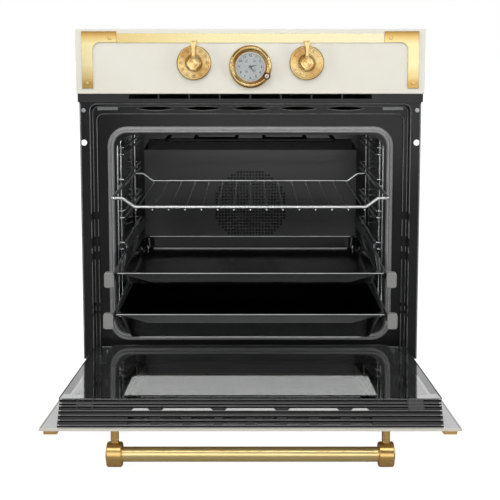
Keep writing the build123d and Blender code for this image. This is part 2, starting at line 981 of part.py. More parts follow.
def convection_fan():
    """A bladed wheel behind the cover, on its shaft."""
    back = liner_rear - fan_back_room
    front = back - fan_sheet - fan_blade_depth
    disc = along_y(fan_radius, back - fan_sheet, back, 0, 0)
    hub = along_y(fan_hub_radius, front, back, 0, 0)
    wheel = disc + hub
    for index in range(fan_blades):
        blade = block(
            fan_blade_inner, fan_radius, front, back - fan_sheet, -fan_sheet / 2, fan_sheet / 2
        )
        wheel += blade.rotate(Axis.Y, 360 * index / fan_blades)
    shaft = along_y(fan_shaft_radius, back, liner_back_y + fan_shaft_length, 0, 0)
    return Pos(0, 0, fan_height) * (wheel + shaft)


def fan_motor():
    """The convection motor on the back of the cavity."""
    rear = liner_back_y + motor_length
    body = along_y(motor_radius, liner_back_y, rear, 0, fan_height)
    body = fillet(body.edges().group_by(Axis.Y)[-1], motor_round)
    mouth_end = liner_back_y + motor_mouth_depth
    body -= along_y(fan_shaft_hole_radius, liner_back_y, mouth_end, 0, fan_height)
    bore_end = liner_back_y + fan_shaft_length + bore_spare
    return body - along_y(fan_shaft_radius + running_gap, liner_back_y, bore_end, 0, fan_height)


def grill_element():
    """The bent tube under the ceiling, with two hangers."""
    rear = liner_back_y + element_tail
    deep = liner_rear - grill_rear_room
    far = grill_front - grill_stagger
    inner = grill_half - grill_loop
    points = [
        (grill_leg_x, rear, grill_height),
        (grill_leg_x, grill_front, grill_height),
        (inner, grill_front, grill_height),
        (inner, deep, grill_height),
        (grill_half, deep, grill_height),
        (grill_half, far, grill_height),
        (-grill_half, far, grill_height),
        (-grill_half, deep, grill_height),
        (-inner, deep, grill_height),
        (-inner, grill_front, grill_height),
        (-grill_leg_x, grill_front, grill_height),
        (-grill_leg_x, rear, grill_height),
    ]
    tube = wire_rod(points, element_radius, grill_bend)
    for side in (-1, 1):
        middle = side * (inner + grill_loop / 2)
        lower = grill_height + element_radius * 0.5
        half = grill_loop / 2 + hanger_spread
        y = (grill_front + deep) / 2
        upper = liner_ceiling - weld_gap
        tube += block(middle - half, middle + half, y, y + hanger_thickness, lower, upper)
    return tube


def ring_element():
    """The round element about the fan, with its two tails."""
    y = liner_rear - ring_standoff
    half = ring_open_angle / 2
    sweep_angle = 360 - ring_open_angle
    centre = Plane(origin=(0, y, fan_height), x_dir=(1, 0, 0), z_dir=(0, -1, 0))
    arc = centre * CenterArc((0, 0), ring_radius, -90 + half, sweep_angle)
    start = Plane(origin=arc @ 0, z_dir=arc % 0)
    ring = sweep(start * Circle(element_radius), path=arc)
    for x, z in ring_ends():
        ring += Pos(x, y, z) * Sphere(ring_joint_radius)
        ring += along_y(element_radius, y, liner_back_y + element_tail, x, z)
    return ring


def bottom_element():
    """The flat element under the cavity's floor."""
    z = liner_floor - liner_sheet - element_radius - face_gap
    half = liner_half - bottom_inset
    rear = liner_rear - bottom_rear_room
    points = [
        (-bottom_gap_half, rear, z),
        (-half, rear, z),
        (-half, bottom_front, z),
        (half, bottom_front, z),
        (half, rear, z),
        (bottom_gap_half, rear, z),
    ]
    return wire_rod(points, element_radius, bottom_bend)


def lamp_holder():
    """The socket behind the cavity's rear wall."""
    rear = liner_back_y + lamp_socket_length
    body = along_y(lamp_socket_radius, liner_rear + face_gap, rear, lamp_x, lamp_z)
    return fillet(body.edges().group_by(Axis.Y)[-1], lamp_socket_round)


def lamp_glass():
    """The domed glass cap in the cavity."""
    front = liner_rear - lamp_glass_depth
    dome = along_y(lamp_glass_radius, front, liner_rear, lamp_x, lamp_z)
    dome = fillet(dome.edges().group_by(Axis.Y)[0], lamp_glass_round)
    hollow_front = front + lamp_glass_wall
    return dome - along_y(lamp_glass_radius - lamp_glass_wall, hollow_front, liner_rear, lamp_x, lamp_z)


def temperature_probe():
    """A thin tube through the rear wall."""
    tube = along_y(probe_radius, liner_rear - probe_length, liner_back_y + probe_tail, probe_x, probe_z)
    return fillet(tube.edges().group_by(Axis.Y)[0], probe_radius * 0.6)


def insulation():
    """The blanket round the cavity, open at the front."""
    front = recess_back_y + face_gap
    outer = block(
        -insulation_half, insulation_half, front, insulation_rear, insulation_bottom, insulation_top
    )
    side = liner_half + liner_sheet + face_gap
    inner = block(
        -side, side, front - cut_over, liner_back_y + face_gap,
        liner_floor - liner_sheet - element_room, liner_ceiling + liner_sheet + face_gap,
    )
    blanket = outer - inner
    for cutter in rear_holes(liner_back_y - cut_over, insulation_rear + cut_over, face_gap):
        blanket -= cutter
    return blanket - along_y(motor_radius + face_gap, liner_back_y, insulation_rear + cut_over, 0, fan_height)


# Casing
def casing_base():
    """The bottom sheet that the oven stands on."""
    return block(-body_width / 2, body_width / 2, casing_base_front, body_depth, 0, casing_sheet)


def casing_side(side):
    """One side sheet, cut back at its toe for the open door."""
    outer = side * body_width / 2
    inner = side * (body_width / 2 - casing_sheet)
    sheet = block(outer, inner, 0, body_depth, casing_sheet, body_height - casing_sheet)
    return sheet - block(
        outer + side, inner - side, -1, casing_base_front, -1, casing_toe_height
    )


def casing_top():
    """The top sheet, with cooling slots over the blower."""
    sheet = block(
        -body_width / 2, body_width / 2, 0, body_depth, body_height - casing_sheet, body_height
    )
    half = casing_slot_width / 2
    reach = casing_top_slot_length / 2
    for index in range(casing_top_slots):
        x = (index - (casing_top_slots - 1) / 2) * casing_top_slot_pitch
        sheet -= block(
            x - half, x + half, blower_y - reach, blower_y + reach,
            body_height - casing_sheet - cut_over, body_height + cut_over,
        )
    return sheet


def casing_rear():
    """The rear sheet, with a hole behind the mains inlet and a row of slots."""
    half = body_width / 2 - casing_sheet
    rear = body_depth - casing_sheet
    sheet = block(-half, half, rear, body_depth, casing_sheet, body_height - casing_sheet)
    sheet -= along_y(gland_radius, rear - cut_over, body_depth + cut_over, inlet_x, inlet_z)
    slot = casing_slot_width / 2
    for index in range(casing_rear_slots):
        x = -half + casing_rear_slot_inset + index * casing_rear_slot_pitch
        sheet -= block(
            x - slot, x + slot, rear - cut_over, body_depth + cut_over,
            casing_rear_slot_low, casing_rear_slot_high,
        )
    return sheet


def mains_inlet():
    """The terminal box with its cable gland."""
    front = body_depth
    back = body_depth + inlet_depth
    box = block(
        inlet_x - inlet_width / 2, inlet_x + inlet_width / 2, front, back,
        inlet_z - inlet_height / 2, inlet_z + inlet_height / 2,
    )
    box = fillet(box.edges().filter_by(Axis.Y), inlet_round)
    foot = inlet_z - inlet_height / 2
    middle = (front + back) / 2
    gland_outer = min(gland_radius, inlet_depth / 2 - face_gap)
    box += along_z(gland_outer, foot - gland_length, foot, inlet_x, middle)
    bore_top = foot + gland_bore_depth
    return box - along_z(gland_bore_radius, foot - gland_length - cut_over, bore_top, inlet_x, middle)


# Cooling duct and blower
def cooling_duct():
    """The flat duct to the vent trim, with the round housing of the blower on it."""
    sheet = duct_sheet
    duct = block(-duct_half, duct_half, duct_front, duct_rear, duct_bottom, duct_top)
    duct -= block(
        -duct_half + sheet, duct_half - sheet, duct_front - cut_over, duct_rear - sheet,
        duct_bottom + sheet, duct_top - sheet,
    )
    top = duct_top + blower_housing_height
    duct += along_z(blower_housing_radius, duct_top, top, 0, blower_y)
    duct -= along_z(blower_housing_radius - sheet, duct_top, top - sheet, 0, blower_y)
    duct -= along_z(blower_mouth_radius, duct_top - sheet - cut_over, duct_top + cut_over, 0, blower_y)
    duct -= along_z(blower_intake_radius, top - sheet - cut_over, top + cut_over, 0, blower_y)
    return duct


def cooling_motor():
    """The blower's motor on its bridge over the intake."""
    base = duct_top + blower_housing_height
    top = base + blower_bridge_thickness
    bridge = block(
        -blower_housing_radius, blower_housing_radius,
        blower_y - blower_bridge_width / 2, blower_y + blower_bridge_width / 2, base, top,
    )
    body = along_z(blower_motor_radius, top, top + blower_motor_height, 0, blower_y)
    body = fillet(body.edges().group_by(Axis.Z)[-1], blower_motor_round)
    bore_top = top + impeller_shaft_length + bore_spare
    bore = along_z(impeller_shaft_radius + running_gap, base - cut_over, bore_top, 0, blower_y)
    return bridge + body - bore


def cooling_impeller():
    """A drum of blades under a disc, hung from its shaft."""
    low = duct_top + impeller_lift
    high = low + impeller_height
    wheel = along_z(impeller_radius, high, high + duct_sheet, 0, 0)
    wheel += along_z(impeller_radius, low, low + duct_sheet, 0, 0)
    eye = impeller_radius - impeller_blade_length
    wheel -= along_z(eye, low - cut_over, low + duct_sheet + cut_over, 0, 0)
    for index in range(impeller_blades):
        blade = block(
            eye, impeller_radius - impeller_blade_margin,
            -duct_sheet / 2, duct_sheet / 2, low, high + duct_sheet / 2,
        )
        wheel += blade.rotate(Axis.Z, 360 * index / impeller_blades)
    top = duct_top + blower_housing_height + blower_bridge_thickness + impeller_shaft_length
    wheel += along_z(impeller_hub_radius, high - impeller_hub_depth, high + duct_sheet, 0, 0)
    wheel += along_z(impeller_shaft_radius, high, top, 0, 0)
    return Pos(0, blower_y, 0) * wheel


# Side ladders, shelf, trays and runners
def ladder_levels():
    """The height of each level's lower wire, from the top."""
    span = range(levels_above_shelf, -levels_below_shelf - 1, -1)
    return [shelf_level + index * ladder_pitch for index in span]


def runner_level(rim):
    """The ladder level nearest under a tray's rim or just over it."""
    return min(ladder_levels(), key=lambda level: abs(level - rim))


def side_ladder():
    """The right ladder: posts and pairs of level wires."""
    levels = ladder_levels()
    low = levels[-1] - ladder_post_overrun
    high = levels[0] + ladder_pair + ladder_post_overrun
    lower_level = runner_level(lower_rim)
    ladder = along_z(ladder_post_radius, low, high, ladder_post, ladder_front)
    ladder += along_z(ladder_post_radius, low, high, ladder_post, lower_level_front)
    ladder += along_z(ladder_post_radius, low, high, ladder_post, ladder_rear)
    for level in levels:
        front = lower_level_front if level == lower_level else ladder_front
        for z in (level, level + ladder_pair):
            points = [
                (ladder_post, front, z),
                (ladder_wire, front, z),
                (ladder_wire, ladder_rear, z),
                (ladder_post, ladder_rear, z),
            ]
            ladder += wire_rod(points, ladder_wire_radius, ladder_bend)
    return ladder


def shelf_frame():
    """The shelf's outer wire, dipped at the front and the rear."""
    side = shelf_half - shelf_frame_radius
    front = -shelf_out + shelf_frame_radius
    rear = -shelf_out + shelf_depth - shelf_frame_radius
    high = shelf_rail
    low = shelf_rail - shelf_drop
    middle = (front + rear) / 2
    half_loop = [
        (side, middle, high),
        (side, front, high),
        (shelf_shoulder, front, high),
        (shelf_dip, front, low),
        (-shelf_dip, front, low),
        (-shelf_shoulder, front, high),
        (-side, front, high),
        (-side, middle, high),
    ]
    other_loop = [(x, 2 * middle - y, z) for x, y, z in half_loop]
    first = wire_rod(half_loop, shelf_frame_radius, shelf_corner)
    second = wire_rod(other_loop, shelf_frame_radius, shelf_corner)
    return first + second


def shelf_grid():
    """The shelf's thin wires, under the dipped rails, on two cross wires."""
    rail = shelf_rail - shelf_drop
    z = rail - shelf_frame_radius - shelf_wire_radius - weld_gap
    front = -shelf_out - shelf_wire_end
    rear = -shelf_out + shelf_depth + shelf_wire_end
    cross_z = z - shelf_cross_radius * 0.6
    half = shelf_wire_pitch * (shelf_wire_count - 1) / 2 + shelf_cross_end
    grid = along_x(shelf_cross_radius, -half, half, front + shelf_depth / 3, cross_z)
    grid += along_x(shelf_cross_radius, -half, half, front + shelf_depth * 2 / 3, cross_z)
    for index in range(shelf_wire_count):
        x = (index - (shelf_wire_count - 1) / 2) * shelf_wire_pitch
        grid += along_y(shelf_wire_radius, front, rear, x, z)
    return grid


def tray(rim, deep, wall, taper, depth, out):
    """A pressed tray with a flat rim and a sloped front lip."""
    front = -out
    middle = front + depth / 2
    sheet = tray_sheet
    mouth_width = 2 * (tray_half - wall)
    mouth_depth = depth - 2 * wall

    def pan(inset, top, bottom):
        upper = RectangleRounded(mouth_width - 2 * inset, mouth_depth - 2 * inset, tray_corner - inset)
        lower = RectangleRounded(
            mouth_width - 2 * taper - 2 * inset, mouth_depth - 2 * taper - 2 * inset, tray_corner - inset
        )
        return loft([Pos(0, middle, top) * upper, Pos(0, middle, bottom) * lower])

    plate = Pos(0, middle, rim - sheet) * RectangleRounded(2 * tray_half, depth, tray_rim_corner)
    rim_plate = extrude(plate, sheet)
    shape = rim_plate + pan(0, rim - sheet, rim - deep)
    inner = pan(sheet, rim - sheet, rim - deep + sheet)
    mouth = Pos(0, middle, rim - sheet) * RectangleRounded(
        mouth_width - 2 * sheet, mouth_depth - 2 * sheet, tray_corner - sheet
    )
    shape -= extrude(mouth, sheet + cut_over)
    shape -= inner
    half = tray_half - lip_margin
    lip = profile_xz(
        [
            (-half, rim - sheet / 2),
            (-half + lip_end_taper, rim - lip_height),
            (half - lip_end_taper, rim - lip_height),
            (half, rim - sheet / 2),
        ],
        front,
        front + lip_setback + sheet,
    )
    slope = profile_yz(
        [
            (front, rim),
            (front + sheet, rim),
            (front + lip_setback + sheet, rim - lip_height),
            (front + lip_setback, rim - lip_height),
        ],
        -half,
        half,
    )
    return shape + (lip & slope)


def slide_length(rest_in):
    """How long a sliding rail is, so that it ends level with the fixed rail when in."""
    return runner_rear - rest_in - cap_depth - face_gap


def sliding_rail(rim, out, rest_in):
    """The right sliding rail with its inward ledge, and its end cap."""
    top = rim - tray_sheet
    front = -out + cap_depth
    rear = front + slide_length(rest_in)
    web = block(rail_inner, slide_outer, front, rear, top - slide_height, top)
    ledge = block(rail_inner - slide_ledge, slide_outer, front, rear, top - slide_thickness, top)
    cap_inner = tray_half + face_gap
    cap = block(
        cap_inner, cap_inner + cap_width, -out, front, rim + cap_rise - cap_height, rim + cap_rise
    )
    cap = fillet(cap.edges().filter_by(Axis.Y), cap_corner)
    cap = fillet(cap.edges().group_by(Axis.Y)[0], cap_round)
    return [web + ledge, cap]


def middle_rail(rim, out, rest_in):
    """The right middle rail, halfway out."""
    length = slide_length(rest_in)
    travel = out + rest_in
    front = rest_in + cap_depth + face_gap - travel / 2
    middle = rim - tray_sheet - slide_height / 2
    return block(
        middle_inner, middle_outer, front, front + length,
        middle - middle_height / 2, middle + middle_height / 2,
    )


def fixed_rail(rim, rest_in):
    """The right fixed rail, with two clips over its ladder wire."""
    front = rest_in + cap_depth + face_gap
    middle = rim - tray_sheet - slide_height / 2
    low = middle - fixed_height / 2
    high = middle + fixed_height / 2
    rail = block(fixed_inner, fixed_outer, front, runner_rear, low, high)
    wire_top = runner_level(rim) + ladder_wire_radius
    clip_top = wire_top + face_gap + clip_thickness
    clip_low = min(high, wire_top + face_gap) - clip_root
    for y in (front + clip_front_room, ladder_rear - clip_rear_room):
        rail += block(fixed_inner, fixed_outer, y, y + clip_length, clip_low, clip_top)
        rail += block(
            fixed_inner, fixed_outer + clip_reach, y, y + clip_length, clip_top - clip_thickness, clip_top
        )
    return rail


# Door, drawn closed
def door_glass(half, y, low, high):
    """One pane with softened edges."""
    pane = block(-half, half, y, y + glass_thickness, low, high)
    return chamfer(pane.edges().filter_by(Axis.Y), glass_chamfer)


def middle_glass():
    """The middle pane, between the side rails and above the hinges."""
    low = hinge_z + hinge_cheek_height + middle_glass_gap
    return door_glass(door_body_half - side_rail_width, middle_glass_y, low, louvre_top - louvre_depth)


def inner_glass():
    """The inner pane, notched at its foot for the hinge arms."""
    pane = block(
        -door_body_half, door_body_half, inner_glass_y, door_inner_y, door_body_bottom, door_body_top
    )
    for side in (-1, 1):
        pane -= block(
            side * hinge_notch_x, side * (door_body_half + cut_over),
            inner_glass_y - cut_over, door_inner_y + cut_over,
            door_body_bottom - cut_over, door_body_bottom + hinge_notch_height,
        )
    return pane


def door_side_rail():
    """The right side rail, a channel that is open inwards."""
    outer = door_body_half
    inner = door_body_half - side_rail_width
    low = door_body_bottom
    high = louvre_top - louvre_depth
    rail = block(inner, outer, glass_back_y, inner_glass_y, low, high)
    wall = rail_wall
    return rail - block(
        inner - cut_over, outer - wall, glass_back_y + wall, middle_glass_y - wall,
        low - cut_over, high + cut_over,
    )


def door_bottom_rail():
    """The channel along the door's foot, between the hinges."""
    half = hinge_notch_x
    high = door_body_bottom + hinge_notch_height
    rail = block(-half, half, glass_back_y, inner_glass_y, door_body_bottom, high)
    wall = rail_wall
    return rail - block(
        -half - cut_over, half + cut_over, glass_back_y + wall, inner_glass_y - wall,
        door_body_bottom + wall, high + cut_over,
    )


def louvre_point(along, inward):
    """A point on the louvre's sloped face, as Y and Z, from its inner edge."""
    run = front_y + glass_thickness - door_inner_y
    rise = louvre_top - door_body_top
    length = math.hypot(run, rise)
    y = door_inner_y + run * along / length - rise * inward / length
    z = door_body_top + rise * along / length + run * inward / length
    return (y, z)


def door_louvre():
    """The ribbed end piece along the door's top edge, with its air slots."""
    low = louvre_top - louvre_depth
    body = profile_yz(
        [
            (glass_back_y, low),
            (glass_back_y, louvre_top),
            (door_inner_y, door_body_top),
            (inner_glass_y, door_body_top),
            (inner_glass_y, low),
        ],
        -door_body_half,
        door_body_half,
    )
    length = math.hypot(door_inner_y - glass_back_y, louvre_top - door_body_top)
    pitch = length / louvre_ribs
    for index in range(louvre_ribs - 1):
        start = pitch * (index + 1) - louvre_groove / 2
        end = start + louvre_groove
        body -= profile_yz(
            [
                louvre_point(start, -1),
                louvre_point(end, -1),
                louvre_point(end, louvre_groove_depth),
                louvre_point(start, louvre_groove_depth),
            ],
            -door_body_half - cut_over,
            door_body_half + cut_over,
        )
    rows = [(louvre_wide_row, louvre_wide_count, louvre_wide_pitch, louvre_wide_web)]
    for row in louvre_narrow_rows:
        rows.append((row, louvre_narrow_count, louvre_narrow_pitch, louvre_narrow_web))
    for row, count, row_pitch, web in rows:
        y, z = louvre_point(pitch * row, 0)
        half = (row_pitch - web) / 2
        for index in range(count):
            x = (index - (count - 1) / 2) * row_pitch
            body -= block(
                x - half, x + half, y - louvre_slot_half, y + louvre_slot_half,
                low - cut_over, z + louvre_slot_above,
            )
    return body


def hinge_cheeks():
    """The right hinge's two cheeks, base and pin, in the door."""
    half = hinge_arm_thickness / 2 + face_gap
    inner = hinge_arm_x - half
    outer = hinge_arm_x + half
    top = hinge_z + hinge_cheek_height
    low = hinge_z - hinge_pin_radius - hinge_cheek_foot
    back = hinge_y - hinge_cheek_back
    front = hinge_y + hinge_cheek_front
    shape = block(inner - hinge_cheek, inner, back, front, low, top)
    shape += block(outer, outer + hinge_cheek, back, front, low, top)
    bridge_low = hinge_z + hinge_arm_radius + hinge_bridge_gap
    shape += block(inner - hinge_cheek, outer + hinge_cheek, back, back + hinge_cheek, bridge_low, top)
    plate_outer = door_body_half - side_rail_width
    shape += block(outer, plate_outer, back, front, top - hinge_plate_height, top)
    shape += along_x(
        hinge_pin_radius, inner - hinge_cheek, outer + hinge_cheek, hinge_y, hinge_z
    )
    return shape


def hinge_receiver():
    """The right receiver behind the frame, with the arm that holds the pin."""
    box = block(
        hinge_arm_x - receiver_half_width, hinge_arm_x + receiver_half_width,
        recess_back_y, recess_back_y + receiver_depth, receiver_bottom, receiver_top,
    )
    half = hinge_arm_thickness / 2
    arm = block(
        hinge_arm_x - half, hinge_arm_x + half, hinge_y, recess_back_y + cut_over,
        hinge_z - hinge_arm_radius, hinge_z + hinge_arm_radius,
    )
    eye = along_x(hinge_arm_radius, hinge_arm_x - half, hinge_arm_x + half, hinge_y, hinge_z)
    bore = along_x(
        hinge_pin_radius + running_gap,
        hinge_arm_x - half - cut_over, hinge_arm_x + half + cut_over, hinge_y, hinge_z,
    )
    return box + arm + eye - bore


def door_trim():
    """Brass corner brackets at the foot, side strips and the bar between."""
    half = panel_width / 2 - door_trim_inset
    bracket_height = door_bracket_reach
    foot = door_bottom + door_trim_inset
    upright = corner_bracket(
        half, -foot, -foot - bracket_height, door_trim_width, door_bracket_reach,
        bracket_inner_radius, front_y, door_trim_thickness,
    )
    bracket = mirror(upright, about=Plane.XY)
    strip = block(
        half - door_trim_width, half, front_y - door_trim_thickness, front_y,
        foot + bracket_height, door_top,
    )
    strip = chamfer(strip.edges().group_by(Axis.Y)[0].filter_by(Axis.Z), door_strip_chamfer)
    bar_half = half - door_bracket_reach
    middle = foot + door_trim_width / 2
    bar = block(
        -bar_half, bar_half, front_y - door_bar_thickness, front_y,
        middle - door_bar_height / 2, middle + door_bar_height / 2,
    )
    return both_sides(bracket) + both_sides(strip) + [bar]


def handle_rod():
    """The round brass bar with domed ends."""
    y = front_y - handle_standoff
    z = door_top - handle_drop
    rod = along_x(handle_radius, -handle_length / 2, handle_length / 2, y, z)
    ends = rod.edges().filter_by(GeomType.CIRCLE)
    return fillet(ends, handle_dome)


def handle_bracket():
    """The right ring round the rod, with its post to the glass."""
    y = front_y - handle_standoff
    z = door_top - handle_drop
    half = handle_bracket_width / 2
    ring = along_x(handle_bracket_radius, handle_bracket_x - half, handle_bracket_x + half, y, z)
    ring = chamfer(ring.edges().filter_by(GeomType.CIRCLE), handle_ring_chamfer)
    post = along_y(handle_post_radius, y, front_y, handle_bracket_x, z)
    bracket = ring + post
    bore = along_x(
        handle_radius + handle_fit,
        handle_bracket_x - half - cut_over, handle_bracket_x + half + cut_over, y, z,
    )
    return bracket - bore


def write_nodes():
    """Write every node of the oven."""
    save("control_panel", control_panel())
    save("panel_trim", *panel_trim())
    save("panel_rivets", *panel_rivets())
    save("function_knob", lever_knob(-knob_offset))
    save("thermostat_knob", lever_knob(knob_offset))
    save("function_switch", switch_body(-knob_offset))
    save("thermostat", switch_body(knob_offset))
    save("clock_case", clock_case())
    save("clock_bezel", clock_bezel())
    save("clock_dial", clock_dial())
    save("clock_glass", clock_glass())
    save("hour_hand", hour_hand())
    save("minute_hand", minute_hand())
    save("clock_setting_knob", setting_knob())
    save("vent_trim", vent_trim())
    save("front_frame", front_frame())
    save("frame_screws", *frame_screws())
    save("door_gasket", door_gasket())
    save("cavity_liner", cavity_liner())
    save("rear_fan_cover", rear_fan_cover())
    save("convection_fan", convection_fan())
    save("fan_motor", fan_motor())
    save("grill_element", grill_element())
    save("ring_element", ring_element())
    save("bottom_element", bottom_element())
    save("lamp_holder", lamp_holder())
    save("lamp_glass", lamp_glass())
    save("temperature_probe", temperature_probe())
    save("insulation", insulation())
    save("casing_base", casing_base())
    save("casing_side_left", casing_side(-1))
    save("casing_side_right", casing_side(1))
    save("casing_top", casing_top())
    save("casing_rear", casing_rear())
    save("mains_inlet", mains_inlet())
    save("cooling_duct", cooling_duct())
    save("cooling_motor", cooling_motor())
    save("cooling_impeller", cooling_impeller())
    save("side_ladders", *both_sides(side_ladder()))
    save("shelf_frame", shelf_frame())
    save("shelf_grid", shelf_grid())
    fixed = both_sides(fixed_rail(upper_rim, upper_in))
    fixed += both_sides(fixed_rail(lower_rim, lower_in))
    save("runner_fixed_rails", *fixed)
    for name, rim, out, rest_in in (
        ("upper", upper_rim, upper_out, upper_in),
        ("lower", lower_rim, lower_out, lower_in),
    ):
        save(f"{name}_middle_rails", *both_sides(middle_rail(rim, out, rest_in)))
        rail, cap = sliding_rail(rim, out, rest_in)
        save(f"{name}_sliding_rails", *both_sides(rail), *both_sides(cap))
    save(
        "upper_tray",
        tray(upper_rim, upper_tray_deep, upper_tray_wall, upper_tray_taper, upper_depth, upper_out),
    )
    save(
        "lower_tray",
        tray(lower_rim, lower_tray_deep, lower_tray_wall, lower_tray_taper, lower_depth, lower_out),
    )
    save("hinge_receivers", *both_sides(hinge_receiver()))
    door_nodes = {
        "door_outer_glass": [door_glass(panel_width / 2, front_y, door_bottom, door_top)],
        "door_middle_glass": [middle_glass()],
        "door_inner_glass": [inner_glass()],
        "door_side_rails": both_sides(door_side_rail()),
        "door_bottom_rail": [door_bottom_rail()],
        "door_louvre": [door_louvre()],
        "door_trim": door_trim(),
        "handle_rod": [handle_rod()],
        "handle_brackets": both_sides(handle_bracket()),
        "hinge_cheeks": both_sides(hinge_cheeks()),
    }
    for node, pieces in door_nodes.items():
        save(node, *[opened(piece) for piece in pieces])


os.makedirs("parts", exist_ok=True)
write_nodes()
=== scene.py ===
"""Built-in oven, cream and brass over black enamel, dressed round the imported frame."""
import json
import logging
import math
from collections.abc import Callable, Iterable, Sequence
from dataclasses import dataclass, field
from enum import Enum

import bmesh
import bpy
from mathutils import Color, Matrix, Quaternion, Vector


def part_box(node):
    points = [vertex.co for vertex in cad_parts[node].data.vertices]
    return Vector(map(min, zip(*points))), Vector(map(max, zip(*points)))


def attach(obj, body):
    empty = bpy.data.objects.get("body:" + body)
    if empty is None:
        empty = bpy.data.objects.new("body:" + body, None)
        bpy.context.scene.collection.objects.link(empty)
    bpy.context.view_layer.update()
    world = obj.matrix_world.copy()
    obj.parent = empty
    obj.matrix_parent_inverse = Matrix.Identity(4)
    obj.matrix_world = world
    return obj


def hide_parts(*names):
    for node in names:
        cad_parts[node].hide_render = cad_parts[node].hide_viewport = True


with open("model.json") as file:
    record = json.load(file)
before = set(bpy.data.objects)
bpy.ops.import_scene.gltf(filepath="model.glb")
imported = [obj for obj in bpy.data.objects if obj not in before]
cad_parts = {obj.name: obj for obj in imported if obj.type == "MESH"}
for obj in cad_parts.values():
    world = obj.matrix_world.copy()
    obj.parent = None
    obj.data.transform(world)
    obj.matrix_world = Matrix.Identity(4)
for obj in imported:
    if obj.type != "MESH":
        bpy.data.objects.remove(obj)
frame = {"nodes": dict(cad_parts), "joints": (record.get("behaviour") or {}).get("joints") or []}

LOG = logging.getLogger("oven")
MM = 0.001
MICRON = 0.000001
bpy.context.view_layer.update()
FACE_ON = Matrix.Rotation(math.radians(90), 4, "X")
UPWARD = Vector((0, 0, 1))
SIDES = (-1, 1)
WHITE = (1.0, 1.0, 1.0, 1.0)
Shade = tuple[int, int, int]
Colour = tuple[float, float, float, float]
Flat = tuple[float, float]
Place = tuple[float, float, float]
Sockets = bpy.types.bpy_prop_collection
Socket = bpy.types.NodeSocket


def linear(shade: Shade) -> Colour:
    """The linear colour, fully opaque, of a colour as seen on a screen."""
    return (*Color([value / 255 for value in shade]).from_srgb_to_scene_linear(), 1.0)


def in_mm(box: tuple[Vector, Vector]) -> tuple[Vector, Vector]:
    """A box's two corners in millimetres."""
    return box[0] / MM, box[1] / MM


def rectangle(left: float, right: float, low: float, high: float) -> list[Flat]:
    """A rectangle's corners, from its low left."""
    return [(left, low), (right, low), (right, high), (left, high)]


def upright(points: Iterable[Flat], y: float) -> list[Place]:
    """Stands flat points, across and up, on an upright plane."""
    return [(x, y, z) for x, z in points]


def pair(half: float, y: float, z: float) -> list[Place]:
    """A point on the left and its twin on the right."""
    return [(-half, y, z), (half, y, z)]


def arc(middle: Flat, radius: float, start: float, count: int) -> list[Flat]:
    """Points on a quarter circle, clockwise from an angle in degrees."""
    turns = [math.radians(start - 90 * step / (count - 1)) for step in range(count)]
    return [(middle[0] + radius * math.cos(turn), middle[1] + radius * math.sin(turn)) for turn in turns]


def clockwise(reach: float, angle: float) -> Flat:
    """Where a pointer of a length ends, across and up, at degrees from upright."""
    turn = math.radians(angle)
    return (reach * math.sin(turn), reach * math.cos(turn))


def dial_turn(centre: Vector, angle: float) -> Matrix:
    """Turns what points up at the origin to an angle round a centre, as seen from the front."""
    turn = Matrix.Rotation(math.radians(angle), 4, "Y")
    return Matrix.Translation((centre.x * MM, 0, centre.z * MM)) @ turn


class Body(str, Enum):
    """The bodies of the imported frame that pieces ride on."""

    OVEN = "oven_body"
    DOOR = "door"
    SHELF = "wire_shelf"
    UPPER_TRAY = "upper_tray"
    LOWER_TRAY = "lower_tray"
    FUNCTION_KNOB = "function_knob"
    THERMOSTAT_KNOB = "thermostat_knob"
    HOUR_HAND = "hour_hand"
    MINUTE_HAND = "minute_hand"
    SETTING_KNOB = "clock_setting_knob"


class Grain(Enum):
    """Which way a finish's fine texture runs, as the stretch of its pattern.

    RINGS is stretched a little along Z, which also keeps it apart from CAST.
    """

    CAST = (1.0, 1.0, 1.0)
    ALONG_X = (0.03, 1.0, 1.0)
    ALONG_Z = (1.0, 1.0, 0.03)
    RINGS = (1.0, 1.0, 1.01)


